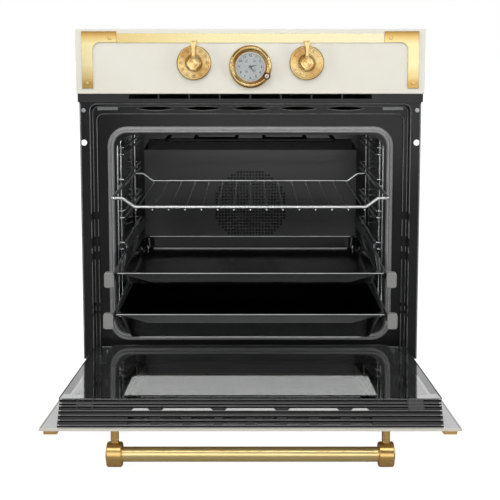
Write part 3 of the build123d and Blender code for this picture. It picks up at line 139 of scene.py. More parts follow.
@dataclass
class Wiring:
    """Adds nodes to one shader tree and links them.

    A value is a socket, which is linked, or a number or a colour, which an input is set to.
    """

    tree: bpy.types.NodeTree

    def put(self, value: object, end: Socket) -> None:
        """Links a value to an input or sets the input to it."""
        if isinstance(value, Socket):
            self.tree.links.new(value, end)
        else:
            end.default_value = value

    def fill(self, made: bpy.types.Node, values: dict[str, object]) -> Sockets:
        """Fills a node's inputs by name, with underscores for spaces, and gives its outputs."""
        for name, value in values.items():
            self.put(value, made.inputs[name.replace("_", " ")])
        return made.outputs

    def node(self, kind: str, **values: object) -> Sockets:
        """Adds a node by its type's name, without its ShaderNode start, and gives its outputs."""
        return self.fill(self.tree.nodes.new("ShaderNode" + kind), values)

    def effect(self, group: bpy.types.NodeTree, **values: object) -> Sockets:
        """Adds a node group and gives its outputs."""
        made = self.tree.nodes.new("ShaderNodeGroup")
        made.node_tree = group
        return self.fill(made, values)

    def sums(self, operation: str, first: object, second: object = 0.0) -> Socket:
        """Adds a Math node on two values and gives its result."""
        made = self.tree.nodes.new("ShaderNodeMath")
        made.operation = operation
        self.put(first, made.inputs[0])
        self.put(second, made.inputs[1])
        return made.outputs[0]

    def blend(self, factor: Socket, first: object, second: object) -> Socket:
        """Mixes two colours by a factor."""
        made = self.tree.nodes.new("ShaderNodeMix")
        made.data_type = "RGBA"
        for place, value in ((0, factor), (6, first), (7, second)):
            self.put(value, made.inputs[place])
        return made.outputs[2]

    def spread(
        self, value: Socket, low: float, high: float, start: object = 0.0, end: object = 1.0
    ) -> Socket:
        """Maps the range from low to high to the range from start to end."""
        ends = {"From_Min": low, "From_Max": high, "To_Min": start, "To_Max": end}
        return self.node("MapRange", Value=value, **ends)["Result"]

    def noise(self, start: Sockets, scale: object, detail: float, roughness: float) -> Socket:
        """Adds a noise on a group's Vector input."""
        made = self.node("TexNoise", Vector=start["Vector"], Scale=scale, Detail=detail, Roughness=roughness)
        return made[0]


@dataclass(frozen=True)
class Effect:
    """A shader node group that several finishes share, made once."""

    name: str
    inputs: dict[str, str]
    outputs: dict[str, str]
    wire: Callable[[Wiring, Sockets, Sockets], None]

    def group(self) -> bpy.types.NodeTree:
        """Makes the group, or gives the one that is there."""
        if self.name in bpy.data.node_groups:
            return bpy.data.node_groups[self.name]
        group = bpy.data.node_groups.new(self.name, "ShaderNodeTree")
        for way, sockets in (("INPUT", self.inputs), ("OUTPUT", self.outputs)):
            for label, kind in sockets.items():
                group.interface.new_socket(label, in_out=way, socket_type="NodeSocket" + kind)
        start = group.nodes.new("NodeGroupInput")
        end = group.nodes.new("NodeGroupOutput")
        self.wire(Wiring(group), start.outputs, end.inputs)
        return group


def wire_relief(wiring: Wiring, relief: Socket, value: Socket, start: Sockets, end: Sockets) -> None:
    """Puts out a relief, and a value as a roughness between the group's Low and High inputs."""
    wiring.put(wiring.spread(value, 0.3, 0.7, start["Low"], start["High"]), end["Roughness"])
    wiring.put(relief, end["Height"])


def wire_grain(wiring: Wiring, start: Sockets, end: Sockets) -> None:
    """Fine relief with broad smears in its roughness."""
    fine = wiring.noise(start, start["Scale"], 5.0, 0.6)
    smear = wiring.noise(start, wiring.sums("MULTIPLY", start["Scale"], 0.05), 3.0, 0.7)
    middle = wiring.sums("MULTIPLY", wiring.sums("ADD", fine, smear), 0.5)
    wire_relief(wiring, fine, middle, start, end)


def wire_turned(wiring: Wiring, start: Sockets, end: Sockets) -> None:
    """Fine lines round an axis along Y, as a lathe leaves them."""
    parts = wiring.node("SeparateXYZ", Vector=start["Vector"])
    squares = [wiring.sums("MULTIPLY", parts[axis], parts[axis]) for axis in "XZ"]
    place = wiring.node("CombineXYZ", X=wiring.sums("SQRT", wiring.sums("ADD", *squares)), Y=parts["Y"])
    lines = wiring.node("TexNoise", Vector=place[0], Scale=start["Scale"], Detail=2.0, Roughness=0.5)[0]
    wire_relief(wiring, lines, lines, start, end)


def wire_mottle(wiring: Wiring, start: Sockets, end: Sockets) -> None:
    """Two near colours in soft patches."""
    patches = wiring.spread(wiring.noise(start, start["Scale"], 6.0, 0.65), 0.35, 0.65)
    wiring.put(wiring.blend(patches, start["Colour"], start["Patch"]), end["Colour"])


PATTERN = {"Vector": "Vector", "Scale": "Float"}
TEXTURE = (PATTERN | {"Low": "Float", "High": "Float"}, {"Height": "Float", "Roughness": "Float"})
GRAIN = Effect("surface_grain", *TEXTURE, wire_grain)
TURNED = Effect("turned_lines", *TEXTURE, wire_turned)
TONES = (PATTERN | {"Colour": "Color", "Patch": "Color"}, {"Colour": "Color"})
MOTTLE = Effect("colour_mottle", *TONES, wire_mottle)


@dataclass(frozen=True)
class Finish:
    """A surface: its colours, how rough it is, its texture, and its relief in microns."""

    colour: Shade
    patch: Shade
    low: float
    high: float
    metallic: float = 0.0
    grain: Grain = Grain.CAST
    grain_scale: float = 600.0
    patch_scale: float = 12.0
    relief: float = 20.0
    coat: float = 0.0
    specular: float = 0.5
    name: str = ""

    def __set_name__(self, owner: type, name: str) -> None:
        """Takes the finish's name from the list that it stands in."""
        object.__setattr__(self, "name", name)

    def _coordinates(
        self, wiring: Wiring, centre: Sequence[float] = (0, 0, 0), stretch: Sequence[float] = (1, 1, 1)
    ) -> Socket:
        """Object coordinates, moved to a centre in millimetres and stretched along each axis."""
        shift = [-along * MM * by for along, by in zip(centre, stretch)]
        place = wiring.node("TexCoord")["Object"]
        return wiring.node("Mapping", Vector=place, Location=shift, Scale=tuple(stretch))["Vector"]

    def _colour(self, wiring: Wiring, centre: Sequence[float]) -> Socket:
        """The base colour, here soft patches of the two colours."""
        return wiring.effect(
            MOTTLE.group(), Vector=self._coordinates(wiring), Scale=self.patch_scale,
            Colour=linear(self.colour), Patch=linear(self.patch),
        )["Colour"]

    def _values(self, wiring: Wiring) -> dict[str, object]:
        """What goes into the shader's other inputs."""
        return {
            "Metallic": self.metallic, "Coat Weight": self.coat, "Coat Roughness": self.low,
            "Specular IOR Level": self.specular,
        }

    def material(self, centre: Vector | None = None) -> bpy.types.Material:
        """Makes the material, or gives the one that is there.

        Args:
            centre: The axis of a turned texture, in millimetres.

        Returns:
            The material.
        """
        name = f"{self.name}_finish"
        if centre is not None:
            name += f"_{round(centre.x)}_{round(centre.z)}"
        if name in bpy.data.materials:
            return bpy.data.materials[name]
        centre = centre or Vector()
        made = bpy.data.materials.new(name)
        made.use_nodes = True
        made.diffuse_color = linear(self.colour)
        wiring = Wiring(made.node_tree)
        place = self._coordinates(wiring, centre, self.grain.value)
        texture = wiring.effect(
            (TURNED if self.grain is Grain.RINGS else GRAIN).group(),
            Vector=place, Scale=self.grain_scale, Low=self.low, High=self.high,
        )
        bump = wiring.node("Bump", Strength=1.0, Distance=self.relief * MICRON, Height=texture["Height"])
        wiring.fill(made.node_tree.nodes["Principled BSDF"], {
            "Base Color": self._colour(wiring, centre), "Roughness": texture["Roughness"], "Normal": bump[0],
            **self._values(wiring),
        })
        return made


@dataclass(frozen=True)
class Glass(Finish):
    """Clear or tinted glass."""

    bend: float = 1.45

    def _values(self, wiring: Wiring) -> dict[str, object]:
        """Adds the glass's own values."""
        return super()._values(wiring) | {"Transmission Weight": 1.0, "IOR": self.bend}


@dataclass(frozen=True)
class ClearCover(Finish):
    """A thin flat cover that lets nearly all the light through."""

    veil: float = 0.10

    def _values(self, wiring: Wiring) -> dict[str, object]:
        """Adds how little of the cover shows."""
        return super()._values(wiring) | {"Alpha": self.veil}


@dataclass(frozen=True)
class Spangle(Finish):
    """Galvanised sheet, with its flat crystals."""

    crystal_scale: float = 90.0

    def _colour(self, wiring: Wiring, centre: Sequence[float]) -> Socket:
        """The base colour by crystals instead of patches."""
        crystals = wiring.node("TexVoronoi", Vector=self._coordinates(wiring), Scale=self.crystal_scale)
        parts = wiring.node("SeparateColor", Color=crystals["Color"])
        return wiring.blend(parts[0], linear(self.colour), linear(self.patch))


@dataclass(frozen=True)
class CappedSteel(Finish):
    """Zinc-plated runner steel whose front end is a moulded grey cap."""

    cap: Shade = (0, 0, 0)
    cap_back: float = 0.0

    def _behind(self, wiring: Wiring) -> Socket:
        """One behind the cap's back edge, and zero before it."""
        parts = wiring.node("SeparateXYZ", Vector=self._coordinates(wiring))
        return wiring.sums("GREATER_THAN", parts["Y"], self.cap_back * MM)

    def _colour(self, wiring: Wiring, centre: Sequence[float]) -> Socket:
        """Steel behind the cap's back edge and moulded grey before it."""
        return wiring.blend(self._behind(wiring), linear(self.cap), super()._colour(wiring, centre))

    def _values(self, wiring: Wiring) -> dict[str, object]:
        """Makes the steel alone metallic."""
        return super()._values(wiring) | {"Metallic": self._behind(wiring)}


@dataclass(frozen=True)
class TurnedMetalPaintedFans(Finish):
    """Metal turned on a lathe, with a painted reflection: two bright fans and two dark ones painted into its
    colour by the angle round its axis.
    """

    # the colour of the painted dark reflection fans
    shadow: Shade = (0, 0, 0)
    fan_angle: float = 42.0

    def _colour(self, wiring: Wiring, centre: Sequence[float]) -> Socket:
        """The base colour with the painted bright and dark reflection fans."""
        parts = wiring.node("SeparateXYZ", Vector=self._coordinates(wiring, centre))
        double = wiring.sums("MULTIPLY", wiring.sums("ARCTAN2", parts["Z"], parts["X"]), 2.0)
        wave = wiring.sums("COSINE", wiring.sums("SUBTRACT", double, math.radians(2 * self.fan_angle)))
        # painted reflection: the mix towards the dark colour by the angle round the axis
        fans = wiring.spread(wave, -0.9, 0.5)
        return wiring.blend(fans, linear(self.shadow), super()._colour(wiring, centre))


@dataclass(frozen=True)
class PaintedReflectionGradient(Finish):
    """Polished metal with a painted reflection: its tone changes along one axis, lighter and darker bands
    standing in for the studio's reflections.
    """

    axis: str = "Z"
    start: float = 0.0
    end: float = 1.0
    stops: Sequence[tuple[float, Shade]] = ()

    def _colour(self, wiring: Wiring, centre: Sequence[float]) -> Socket:
        """The painted reflection's colour by the place along the axis."""
        parts = wiring.node("SeparateXYZ", Vector=self._coordinates(wiring))
        along = wiring.spread(parts[self.axis], self.start * MM, self.end * MM)
        made = wiring.tree.nodes.new("ShaderNodeValToRGB")
        stops = made.color_ramp.elements
        while len(stops) < len(self.stops):
            stops.new(1.0)
        for stop, (place, shade) in zip(stops, self.stops):
            stop.position = place
            stop.color = linear(shade)
        return wiring.fill(made, {"Fac": along})["Color"]


BRASS = {"metallic": 1.0, "grain_scale": 1800.0}
ENAMEL = {"grain_scale": 420.0, "patch_scale": 700.0}
PAINT = {"grain_scale": 1800.0, "relief": 10.0}
ZINC = {"metallic": 1.0, "grain_scale": 500.0, "patch_scale": 70.0}
ZINC_SURFACE = ((188, 190, 192), (164, 166, 169), 0.24, 0.38)


class Finishes:
    """The finishes of the oven's nodes and pieces, by name."""

    cream_enamel = Finish(
        (249, 247, 233), (247, 243, 229), 0.18, 0.30, grain_scale=900.0, relief=10.0, coat=0.35,
    )
    cream_glass = Finish((229, 226, 213), (226, 222, 208), 0.03, 0.08, grain_scale=60.0, relief=4.0, coat=1.0)
    brass = Finish((238, 198, 128), (232, 190, 118), 0.22, 0.32, grain=Grain.ALONG_X, relief=3.0, **BRASS)
    upright_brass = Finish(
        (236, 206, 148), (230, 198, 136), 0.22, 0.34, grain=Grain.ALONG_Z, relief=6.0, **BRASS,
    )
    rod_brass = Finish((254, 228, 166), (252, 224, 158), 0.30, 0.31, grain=Grain.ALONG_X, relief=0.0, **BRASS)
    # painted reflection: darker towards the brackets' lower and upper edges, darkest at the top, lighter in
    # the middle
    bracket_brass = PaintedReflectionGradient(
        (250, 230, 170), (230, 198, 136), 0.18, 0.24, grain=Grain.ALONG_Z, relief=0.5, start=503.0, end=591.0,
        stops=(
            (0.0, (186, 152, 92)), (0.10, (210, 184, 126)), (0.35, (224, 210, 162)),
            (0.76, (224, 210, 160)), (0.90, (206, 174, 106)), (1.0, (148, 112, 58)),
        ), **BRASS,
    )
    # painted reflection: darker towards the bar's left end, lighter towards its right
    bar_brass = PaintedReflectionGradient(
        (250, 230, 170), (230, 198, 136), 0.18, 0.24, grain=Grain.ALONG_X, relief=0.5, axis="X",
        start=-225.0, end=225.0,
        stops=((0.0, (206, 184, 126)), (0.35, (212, 200, 154)), (1.0, (214, 206, 172))), **BRASS,
    )
    # painted reflection: bright and dark fans round each knob's and the bezel's axis
    turned_brass = TurnedMetalPaintedFans(
        (232, 204, 146), (226, 196, 134), 0.18, 0.23, metallic=1.0, grain=Grain.RINGS, grain_scale=2600.0,
        patch_scale=20.0, relief=0.0, shadow=(192, 154, 94),
    )
    engraving = Finish((122, 92, 44), (96, 70, 34), 0.4, 0.6, metallic=0.6, grain_scale=2000.0)
    black_enamel = Finish((30, 30, 31), (36, 36, 37), 0.10, 0.20, relief=8.0, specular=0.26, **ENAMEL)
    cavity_enamel = Finish((46, 46, 46), (54, 54, 54), 0.14, 0.26, relief=12.0, coat=0.3, **ENAMEL)
    tray_enamel = Finish((8, 8, 9), (12, 12, 13), 0.10, 0.18, relief=10.0, specular=0.16, **ENAMEL)
    # painted light: the trays' own enamel made lighter on the lit front lip
    lip_enamel = Finish(
        (42, 42, 43), (52, 52, 53), 0.16, 0.26, grain_scale=420.0, patch_scale=500.0, relief=10.0, coat=0.5,
    )
    # painted light: the cavity's enamel made lighter on the fan cover
    cover_enamel = Finish((80, 80, 80), (88, 88, 88), 0.16, 0.28, relief=12.0, coat=0.3, **ENAMEL)
    # painted light: a much lighter copy of the enamel on the fan cover's sloped top
    shoulder_enamel = Finish(
        (134, 134, 134), (122, 122, 122), 0.24, 0.34, grain_scale=420.0, patch_scale=500.0,
    )
    # painted highlight: near-white lines on the trays' edges and on the louvre ribs' ends
    worn_edge = Finish((232, 233, 234), (216, 217, 218), 0.24, 0.36, grain_scale=500.0, patch_scale=25.0)
    # painted highlight: light grey lines and plates where the black frame's edges catch the light
    bright_edge = Finish(
        (158, 159, 160), (120, 121, 122), 0.22, 0.34, metallic=0.25, grain_scale=500.0, patch_scale=25.0,
    )
    black_paint = Finish((27, 27, 28), (34, 34, 35), 0.26, 0.40, grain_scale=2400.0, patch_scale=40.0)
    chrome_wire = Finish(
        (236, 237, 238), (212, 214, 216), 0.16, 0.28, metallic=1.0, grain_scale=700.0, patch_scale=60.0,
        relief=6.0,
    )
    zinc_steel = Finish(*ZINC_SURFACE, **ZINC)
    gasket = Finish(
        (164, 164, 164), (152, 152, 152), 0.30, 0.42, grain_scale=1500.0, patch_scale=160.0, relief=80.0,
        coat=0.1,
    )
    clear_glass = Glass((249, 250, 249), (246, 248, 247), 0.0, 0.02, relief=1.0, bend=1.55)
    window_glass = ClearCover(
        (38, 40, 39), (34, 36, 35), 0.01, 0.03, relief=1.0, coat=1.0, specular=1.0, veil=0.26,
    )
    middle_glass = ClearCover((60, 62, 61), (56, 58, 57), 0.02, 0.05, relief=1.0, veil=0.05)
    clear_cover = ClearCover((236, 240, 240), (230, 235, 235), 0.02, 0.05, relief=1.0)
    black_print = Finish((9, 9, 10), (13, 13, 14), 0.03, 0.08, grain_scale=90.0, relief=2.0)
    margin_grey = Finish((178, 179, 178), (170, 171, 170), 0.10, 0.20, grain_scale=90.0, coat=0.6)
    dial_face = Finish((196, 203, 203), (192, 199, 200), 0.35, 0.5, grain_scale=1500.0, patch_scale=30.0)
    dial_ink = Finish((44, 54, 54), (54, 64, 64), 0.4, 0.55, grain_scale=1500.0)
    dial_ring = Finish((208, 210, 208), (188, 190, 190), 0.22, 0.34, metallic=0.4, grain_scale=900.0)
    hand_brown = Finish((70, 38, 36), (52, 28, 28), 0.25, 0.4, grain_scale=1500.0)
    ring_dark = Finish((58, 44, 22), (82, 62, 32), 0.2, 0.35, metallic=0.9)
    cap_cream = Finish((240, 220, 200), (232, 208, 186), 0.2, 0.32, coat=0.3)
    element_steel = Finish(
        (22, 22, 22), (30, 29, 28), 0.3, 0.5, metallic=0.2, grain_scale=700.0, patch_scale=45.0,
    )
    galvanised = Spangle((168, 172, 176), (196, 199, 202), 0.32, 0.48, metallic=0.85, grain_scale=300.0)
    motor_case = Finish((150, 152, 154), (128, 130, 133), 0.35, 0.5, metallic=0.8, patch_scale=60.0)
    fan_blade = Finish((84, 85, 87), (66, 67, 70), 0.18, 0.32, metallic=1.0, grain_scale=900.0)
    wool = Finish(
        (214, 200, 150), (190, 172, 118), 0.85, 1.0, grain_scale=320.0, patch_scale=40.0, relief=1200.0,
    )
    louvre_black = Finish((9, 9, 9), (14, 14, 14), 0.30, 0.42, **PAINT)
    rib_black = Finish((17, 17, 18), (24, 24, 25), 0.18, 0.28, coat=0.3, **PAINT)
    # painted highlight: grey line along each louvre rib's edge
    rib_edge = Finish((138, 138, 138), (112, 112, 112), 0.26, 0.38, grain_scale=900.0)
    catch_grey = Finish((58, 58, 59), (50, 50, 51), 0.24, 0.36, **PAINT)
    dark_plastic = Finish((34, 34, 36), (42, 42, 44), 0.4, 0.55, grain_scale=1600.0, relief=30.0)


def dress(finish: Finish, *nodes: str) -> None:
    """Gives CAD nodes a finish."""
    for node in nodes:
        for slot in frame["nodes"][node].material_slots:
            slot.material = finish.material()


@dataclass
class Stock:
    """One piece in the making: a bmesh in metres, shaped by operations that take millimetres."""

    mesh: bmesh.types.BMesh = field(default_factory=bmesh.new)
    numeral_weight: float = 0.045
    numeral_rise: float = 0.05

    @classmethod
    def copy_of(cls, node: str) -> "Stock":
        """Starts from a merged copy of a CAD node's mesh."""
        made = cls()
        made.mesh.from_mesh(frame["nodes"][node].data)
        made.merge(0.01)
        return made

    def merge(self, gap: float) -> None:
        """Merges the corners that are nearer than a gap."""
        bmesh.ops.remove_doubles(self.mesh, verts=self.mesh.verts[:], dist=gap * MM)

    def face_out(self) -> None:
        """Turns the faces' outsides out."""
        bmesh.ops.recalc_face_normals(self.mesh, faces=self.mesh.faces[:])

    def widest(self) -> list[bmesh.types.BMFace]:
        """The face with the most corners, which fills a ring or a pan."""
        return [max(self.mesh.faces, key=lambda face: len(face.verts))]

    def step_in(self, section: Sequence[Flat]) -> None:
        """Insets the widest face step by step, so that its rim takes a section's shape.

        Args:
            section: How far in and how far up each step ends, from the face's edge.
        """
        across = up = 0.0
        for place, height in section:
            bmesh.ops.inset_individual(
                self.mesh, faces=self.widest(), thickness=(place - across) * MM,
                depth=(height - up) * MM, use_even_offset=True,
            )
            across, up = place, height

    def face_towards(self, direction: Place) -> None:
        """Turns the widest face so that its normal points along a direction."""
        self.mesh.normal_update()
        face = self.widest()[0]
        if face.normal.dot(Vector(direction)) < 0:
            bmesh.ops.reverse_faces(self.mesh, faces=[face])
            self.mesh.normal_update()

    def outline(self, points: Iterable[Place], radius: float = 0.0, steps: int = 6) -> None:
        """Adds a flat face through its corner points, and rounds them.

        Args:
            points: The corners in order.
            radius: The corners' radius.
            steps: How many flats make a round corner.
        """
        corners = [self.mesh.verts.new([value * MM for value in point]) for point in points]
        self.mesh.faces.new(corners)
        if radius:
            bmesh.ops.bevel(
                self.mesh, geom=corners, offset=radius * MM, offset_type="OFFSET", segments=steps,
                profile=0.5, affect="VERTICES", material=-1,
            )

    def fill_between(self) -> None:
        """Turns the outlines so far into one plate with holes."""
        bmesh.ops.delete(self.mesh, geom=self.mesh.faces[:], context="FACES_ONLY")
        bmesh.ops.triangle_fill(self.mesh, use_beauty=True, edges=self.mesh.edges[:])

    def thicken(self, depth: float, direction: Vector = Vector((0, 1, 0))) -> None:
        """Extrudes every face along a direction by a depth."""
        grown = bmesh.ops.extrude_face_region(self.mesh, geom=self.mesh.faces[:])["geom"]
        moved = [item for item in grown if isinstance(item, bmesh.types.BMVert)]
        bmesh.ops.translate(self.mesh, verts=moved, vec=direction * depth * MM)
        self.face_out()

    def soften(self, width: float, steps: int = 2, least: float = 30.0) -> None:
        """Bevels every edge that is sharper than an angle.

        Args:
            width: The bevel's width.
            steps: How many flats it has.
            least: The least angle in degrees.
        """
        self.face_out()
        limit = math.radians(least)
        inner = [edge for edge in self.mesh.edges if len(edge.link_faces) == 2]
        sharp = [edge for edge in inner if edge.calc_face_angle() > limit]
        bmesh.ops.bevel(
            self.mesh, geom=sharp, offset=width * MM, offset_type="OFFSET", segments=steps,
            profile=0.5, affect="EDGES", material=-1, clamp_overlap=True,
        )

    def turn(self, profile: Sequence[Flat], centre: Vector, closed: bool = False, steps: int = 72) -> None:
        """Spins a profile round an axis along Y.

        Args:
            profile: Points as radius and Y, from the axis or round a section.
            centre: A point on the axis.
            closed: Whether the profile's last point joins its first.
            steps: How many flats make the circle.
        """
        places = [((centre.x + radius) * MM, along * MM, centre.z * MM) for radius, along in profile]
        start = [self.mesh.verts.new(place) for place in places]
        ends = list(zip(start, start[1:])) + ([(start[-1], start[0])] if closed else [])
        edges = [self.mesh.edges.new(end) for end in ends]
        bmesh.ops.spin(
            self.mesh, geom=start + edges, cent=centre * MM, axis=(0, 1, 0), dvec=(0, 0, 0),
            angle=math.tau, steps=steps, use_merge=True,
        )
        self.merge(0.002)
        self.face_out()

    def bar(self, low: Place, high: Place, turn: Matrix | None = None) -> None:
        """Adds a box between two corners, turned about the row frame's origin if asked."""
        size = [(b - a) * MM for a, b in zip(low, high)]
        middle = [(a + b) / 2 * MM for a, b in zip(low, high)]
        place = Matrix.Translation(middle) @ Matrix.Diagonal((*size, 1.0))
        bmesh.ops.create_cube(self.mesh, size=1.0, matrix=(turn or Matrix()) @ place)

    def add_wire(self, points: Sequence[Place], radius: float) -> None:
        """Adds a round wire through points."""
        curve = bpy.data.curves.new("wire", "CURVE")
        curve.dimensions = "3D"
        curve.bevel_depth = radius * MM
        curve.bevel_resolution = 2
        curve.use_fill_caps = True
        spline = curve.splines.new("POLY")
        spline.points.add(len(points) - 1)
        for place, point in zip(spline.points, points):
            place.co = (*[value * MM for value in point], 1.0)
        self._add_curve(curve, Matrix())

    def add_text(self, text: str, height: float, place: Matrix) -> None:
        """Adds generic numerals of a height, with their middle at a place, X to the right and Y up."""
        curve = bpy.data.curves.new("numerals", "FONT")
        curve.body = text
        curve.size = height * MM
        curve.align_x = curve.align_y = "CENTER"
        curve.extrude = self.numeral_rise * MM
        curve.offset = self.numeral_weight * height * MM
        curve.resolution_u = 3
        self._add_curve(curve, place)

    def _add_curve(self, curve: bpy.types.Curve, place: Matrix) -> None:
        """Makes a curve a mesh and adds it at a place."""
        holder = bpy.data.objects.new(curve.name, curve)
        bpy.context.scene.collection.objects.link(holder)
        graph = bpy.context.evaluated_depsgraph_get()
        mesh = bpy.data.meshes.new_from_object(holder.evaluated_get(graph))
        mesh.transform(place)
        self.mesh.from_mesh(mesh)
        bpy.data.objects.remove(holder)
        bpy.data.curves.remove(curve)
        bpy.data.meshes.remove(mesh)

    def to_object(self, name: str) -> bpy.types.Object:
        """Ends the work with an object at the origin."""
        mesh = bpy.data.meshes.new(name)
        self.mesh.to_mesh(mesh)
        self.mesh.free()
        made = bpy.data.objects.new(name, mesh)
        bpy.context.scene.collection.objects.link(made)
        return made

    def piece(
        self, name: str, finish: Finish, slot: str, *stands_for: str, body: Body = Body.OVEN,
        centre: Vector | None = None, smooth: float = 38.0,
    ) -> bpy.types.Object:
        """Ends the work with an object at the origin that rides on its body.

        Args:
            name: The piece's name.
            finish: Its finish.
            slot: The record's material slot, not used.
            stands_for: CAD nodes that it replaces.
            body: The body that it rides on.
            centre: The axis of a turned finish.
            smooth: Edges sharper than this many degrees stay sharp.

        Returns:
            The finished object.
        """
        made = self.to_object(name)
        mesh = made.data
        mesh.materials.clear()
        mesh.materials.append(finish.material(centre))
        mesh.shade_smooth()
        mesh.set_sharp_from_angle(angle=math.radians(smooth))
        made.modifiers.new("even_shading", "WEIGHTED_NORMAL").keep_sharp = True
        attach(made, body.value)
        if stands_for:
            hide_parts(*stands_for)
        LOG.info("%s: %d faces, rides on %s", name, len(mesh.polygons), body.value)
        return made


@dataclass(frozen=True)
class Softbox:
    """One rectangular area light, placed and sized in metres."""

    name: str
    place: Place
    size: tuple[float, float]
    brightness: float
    roll: float = 0.0
    target: Place = (0.0, 0.1, 0.28)

    def hang(self) -> None:
        """Hangs the light so that it faces its target. Its brightness is against white paper."""
        data = bpy.data.lights.new(self.name, "AREA")
        data.shape = "RECTANGLE"
        data.size, data.size_y = self.size
        data.energy = self.brightness * math.pi * data.size * data.size_y
        made = bpy.data.objects.new(self.name, data)
        made.location = self.place
        facing = (Vector(self.target) - Vector(self.place)).to_track_quat("-Z", "Y")
        made.rotation_euler = (facing @ Quaternion((0, 0, 1), math.radians(self.roll))).to_euler()
        bpy.context.scene.collection.objects.link(made)


@dataclass
class Studio:
    """The camera, the soft lights, the pale surround and the floor, in metres.

    The surround's soft light changes from below to above, and what surfaces mirror of it from front to rear.
    Both are given as the range of directions and the range of strengths.
    """

    lens: float = 87.057
    sensor_width: float = 36.0
    shift_x: float = -0.0007
    shift_y: float = -0.10
    camera_place: Place = (0.0, -2.0909, 0.5785)
    camera_dip: float = 7.598
    floor_height: float = -0.0292
    floor_half: float = 30.0
    floor_glow: float = 0.92
    floor_glow_through: float = 1.3
    soft_light: Sequence[float] = (0.0, 0.8, 0.46, 0.34)
    mirrored_light: Sequence[float] = (-0.25, 0.35, 0.13, 0.95)
    softboxes: Sequence[Softbox] = (
        Softbox("front_softbox", (0.0, -3.6, 0.75), (4.6, 1.5), 1.5, roll=-32.0),
        Softbox("overhead_softbox", (0.0, -1.7, 2.5), (2.6, 0.5), 4.6),
        Softbox("left_softbox", (-2.5, -1.3, 0.9), (0.36, 1.6), 8.5),
        Softbox("right_softbox", (2.5, -1.3, 0.9), (0.36, 1.6), 8.5),
    )
    lamp_size: tuple[float, float] = (0.34, 0.03)
    lamp_brightness: float = 0.8
    lamp_drop: float = 0.03
    lamp_target_rise: float = 0.1

    def build(self) -> None:
        """Sets the whole studio up."""
        self.camera()
        self.surround()
        self.floor()
        for softbox in self.softboxes:
            softbox.hang()
        self.cavity_lamp()
        view = bpy.context.scene.view_settings
        view.view_transform = "Standard"
        view.look = "None"
        view.exposure = 0.0
        view.gamma = 1.0

    def camera(self) -> None:
        """Puts the camera where the photograph was taken from."""
        data = bpy.data.cameras.new("camera")
        data.lens = self.lens
        data.sensor_width = self.sensor_width
        data.shift_x = self.shift_x
        data.shift_y = self.shift_y
        made = bpy.data.objects.new("camera", data)
        made.location = self.camera_place
        made.rotation_euler = (math.radians(90 - self.camera_dip), 0.0, 0.0)
        bpy.context.scene.collection.objects.link(made)
        bpy.context.scene.camera = made

    def surround(self) -> None:
        """White behind the oven, softer where surfaces reflect it."""
        world = bpy.data.worlds.new("surround")
        world.use_nodes = True
        bpy.context.scene.world = world
        wiring = Wiring(world.node_tree)
        parts = wiring.node("SeparateXYZ", Vector=wiring.node("TexCoord")["Generated"])
        path = wiring.node("LightPath")
        soft = wiring.spread(parts["Z"], *self.soft_light)
        mirrored = wiring.spread(parts["Y"], *self.mirrored_light)
        reflected = wiring.spread(path["Is Glossy Ray"], 0.0, 1.0, soft, mirrored)
        direct = wiring.sums("MAXIMUM", path["Is Camera Ray"], path["Is Transmission Ray"])
        seen = wiring.spread(direct, 0.0, 1.0, reflected)
        wiring.fill(world.node_tree.nodes["Background"], {"Color": WHITE, "Strength": seen})

    def floor(self) -> None:
        """Lays the pale floor just under the open door's handle."""
        stock = Stock()
        bmesh.ops.create_grid(
            stock.mesh, x_segments=2, y_segments=2, size=self.floor_half,
            matrix=Matrix.Translation((0, 0, self.floor_height)),
        )
        made = stock.to_object("floor")
        made.data.materials.append(self.floor_material())

    def floor_material(self) -> bpy.types.Material:
        """Matt white paper with a little light of its own."""
        made = Finish(
            (172, 172, 171), (168, 168, 167), 0.75, 0.9, grain_scale=80.0, name="floor_paper"
        ).material()
        wiring = Wiring(made.node_tree)
        path = wiring.node("LightPath")
        seen = wiring.sums("MULTIPLY", path["Is Camera Ray"], self.floor_glow)
        through = wiring.sums("MULTIPLY", path["Is Transmission Ray"], self.floor_glow_through)
        glow = {"Emission Color": WHITE, "Emission Strength": wiring.sums("ADD", seen, through)}
        wiring.fill(made.node_tree.nodes["Principled BSDF"], glow)
        return made

    def cavity_lamp(self) -> None:
        """Lights the cavity's rear wall a little from its ceiling."""
        low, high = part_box("cavity_liner")
        mouth_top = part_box("door_gasket")[1].z
        place = (0.0, (low.y * 2 + high.y) / 3, mouth_top - self.lamp_drop)
        target = (0.0, high.y, low.z + self.lamp_target_rise)
        Softbox("cavity_lamp", place, self.lamp_size, self.lamp_brightness, target=target).hang()


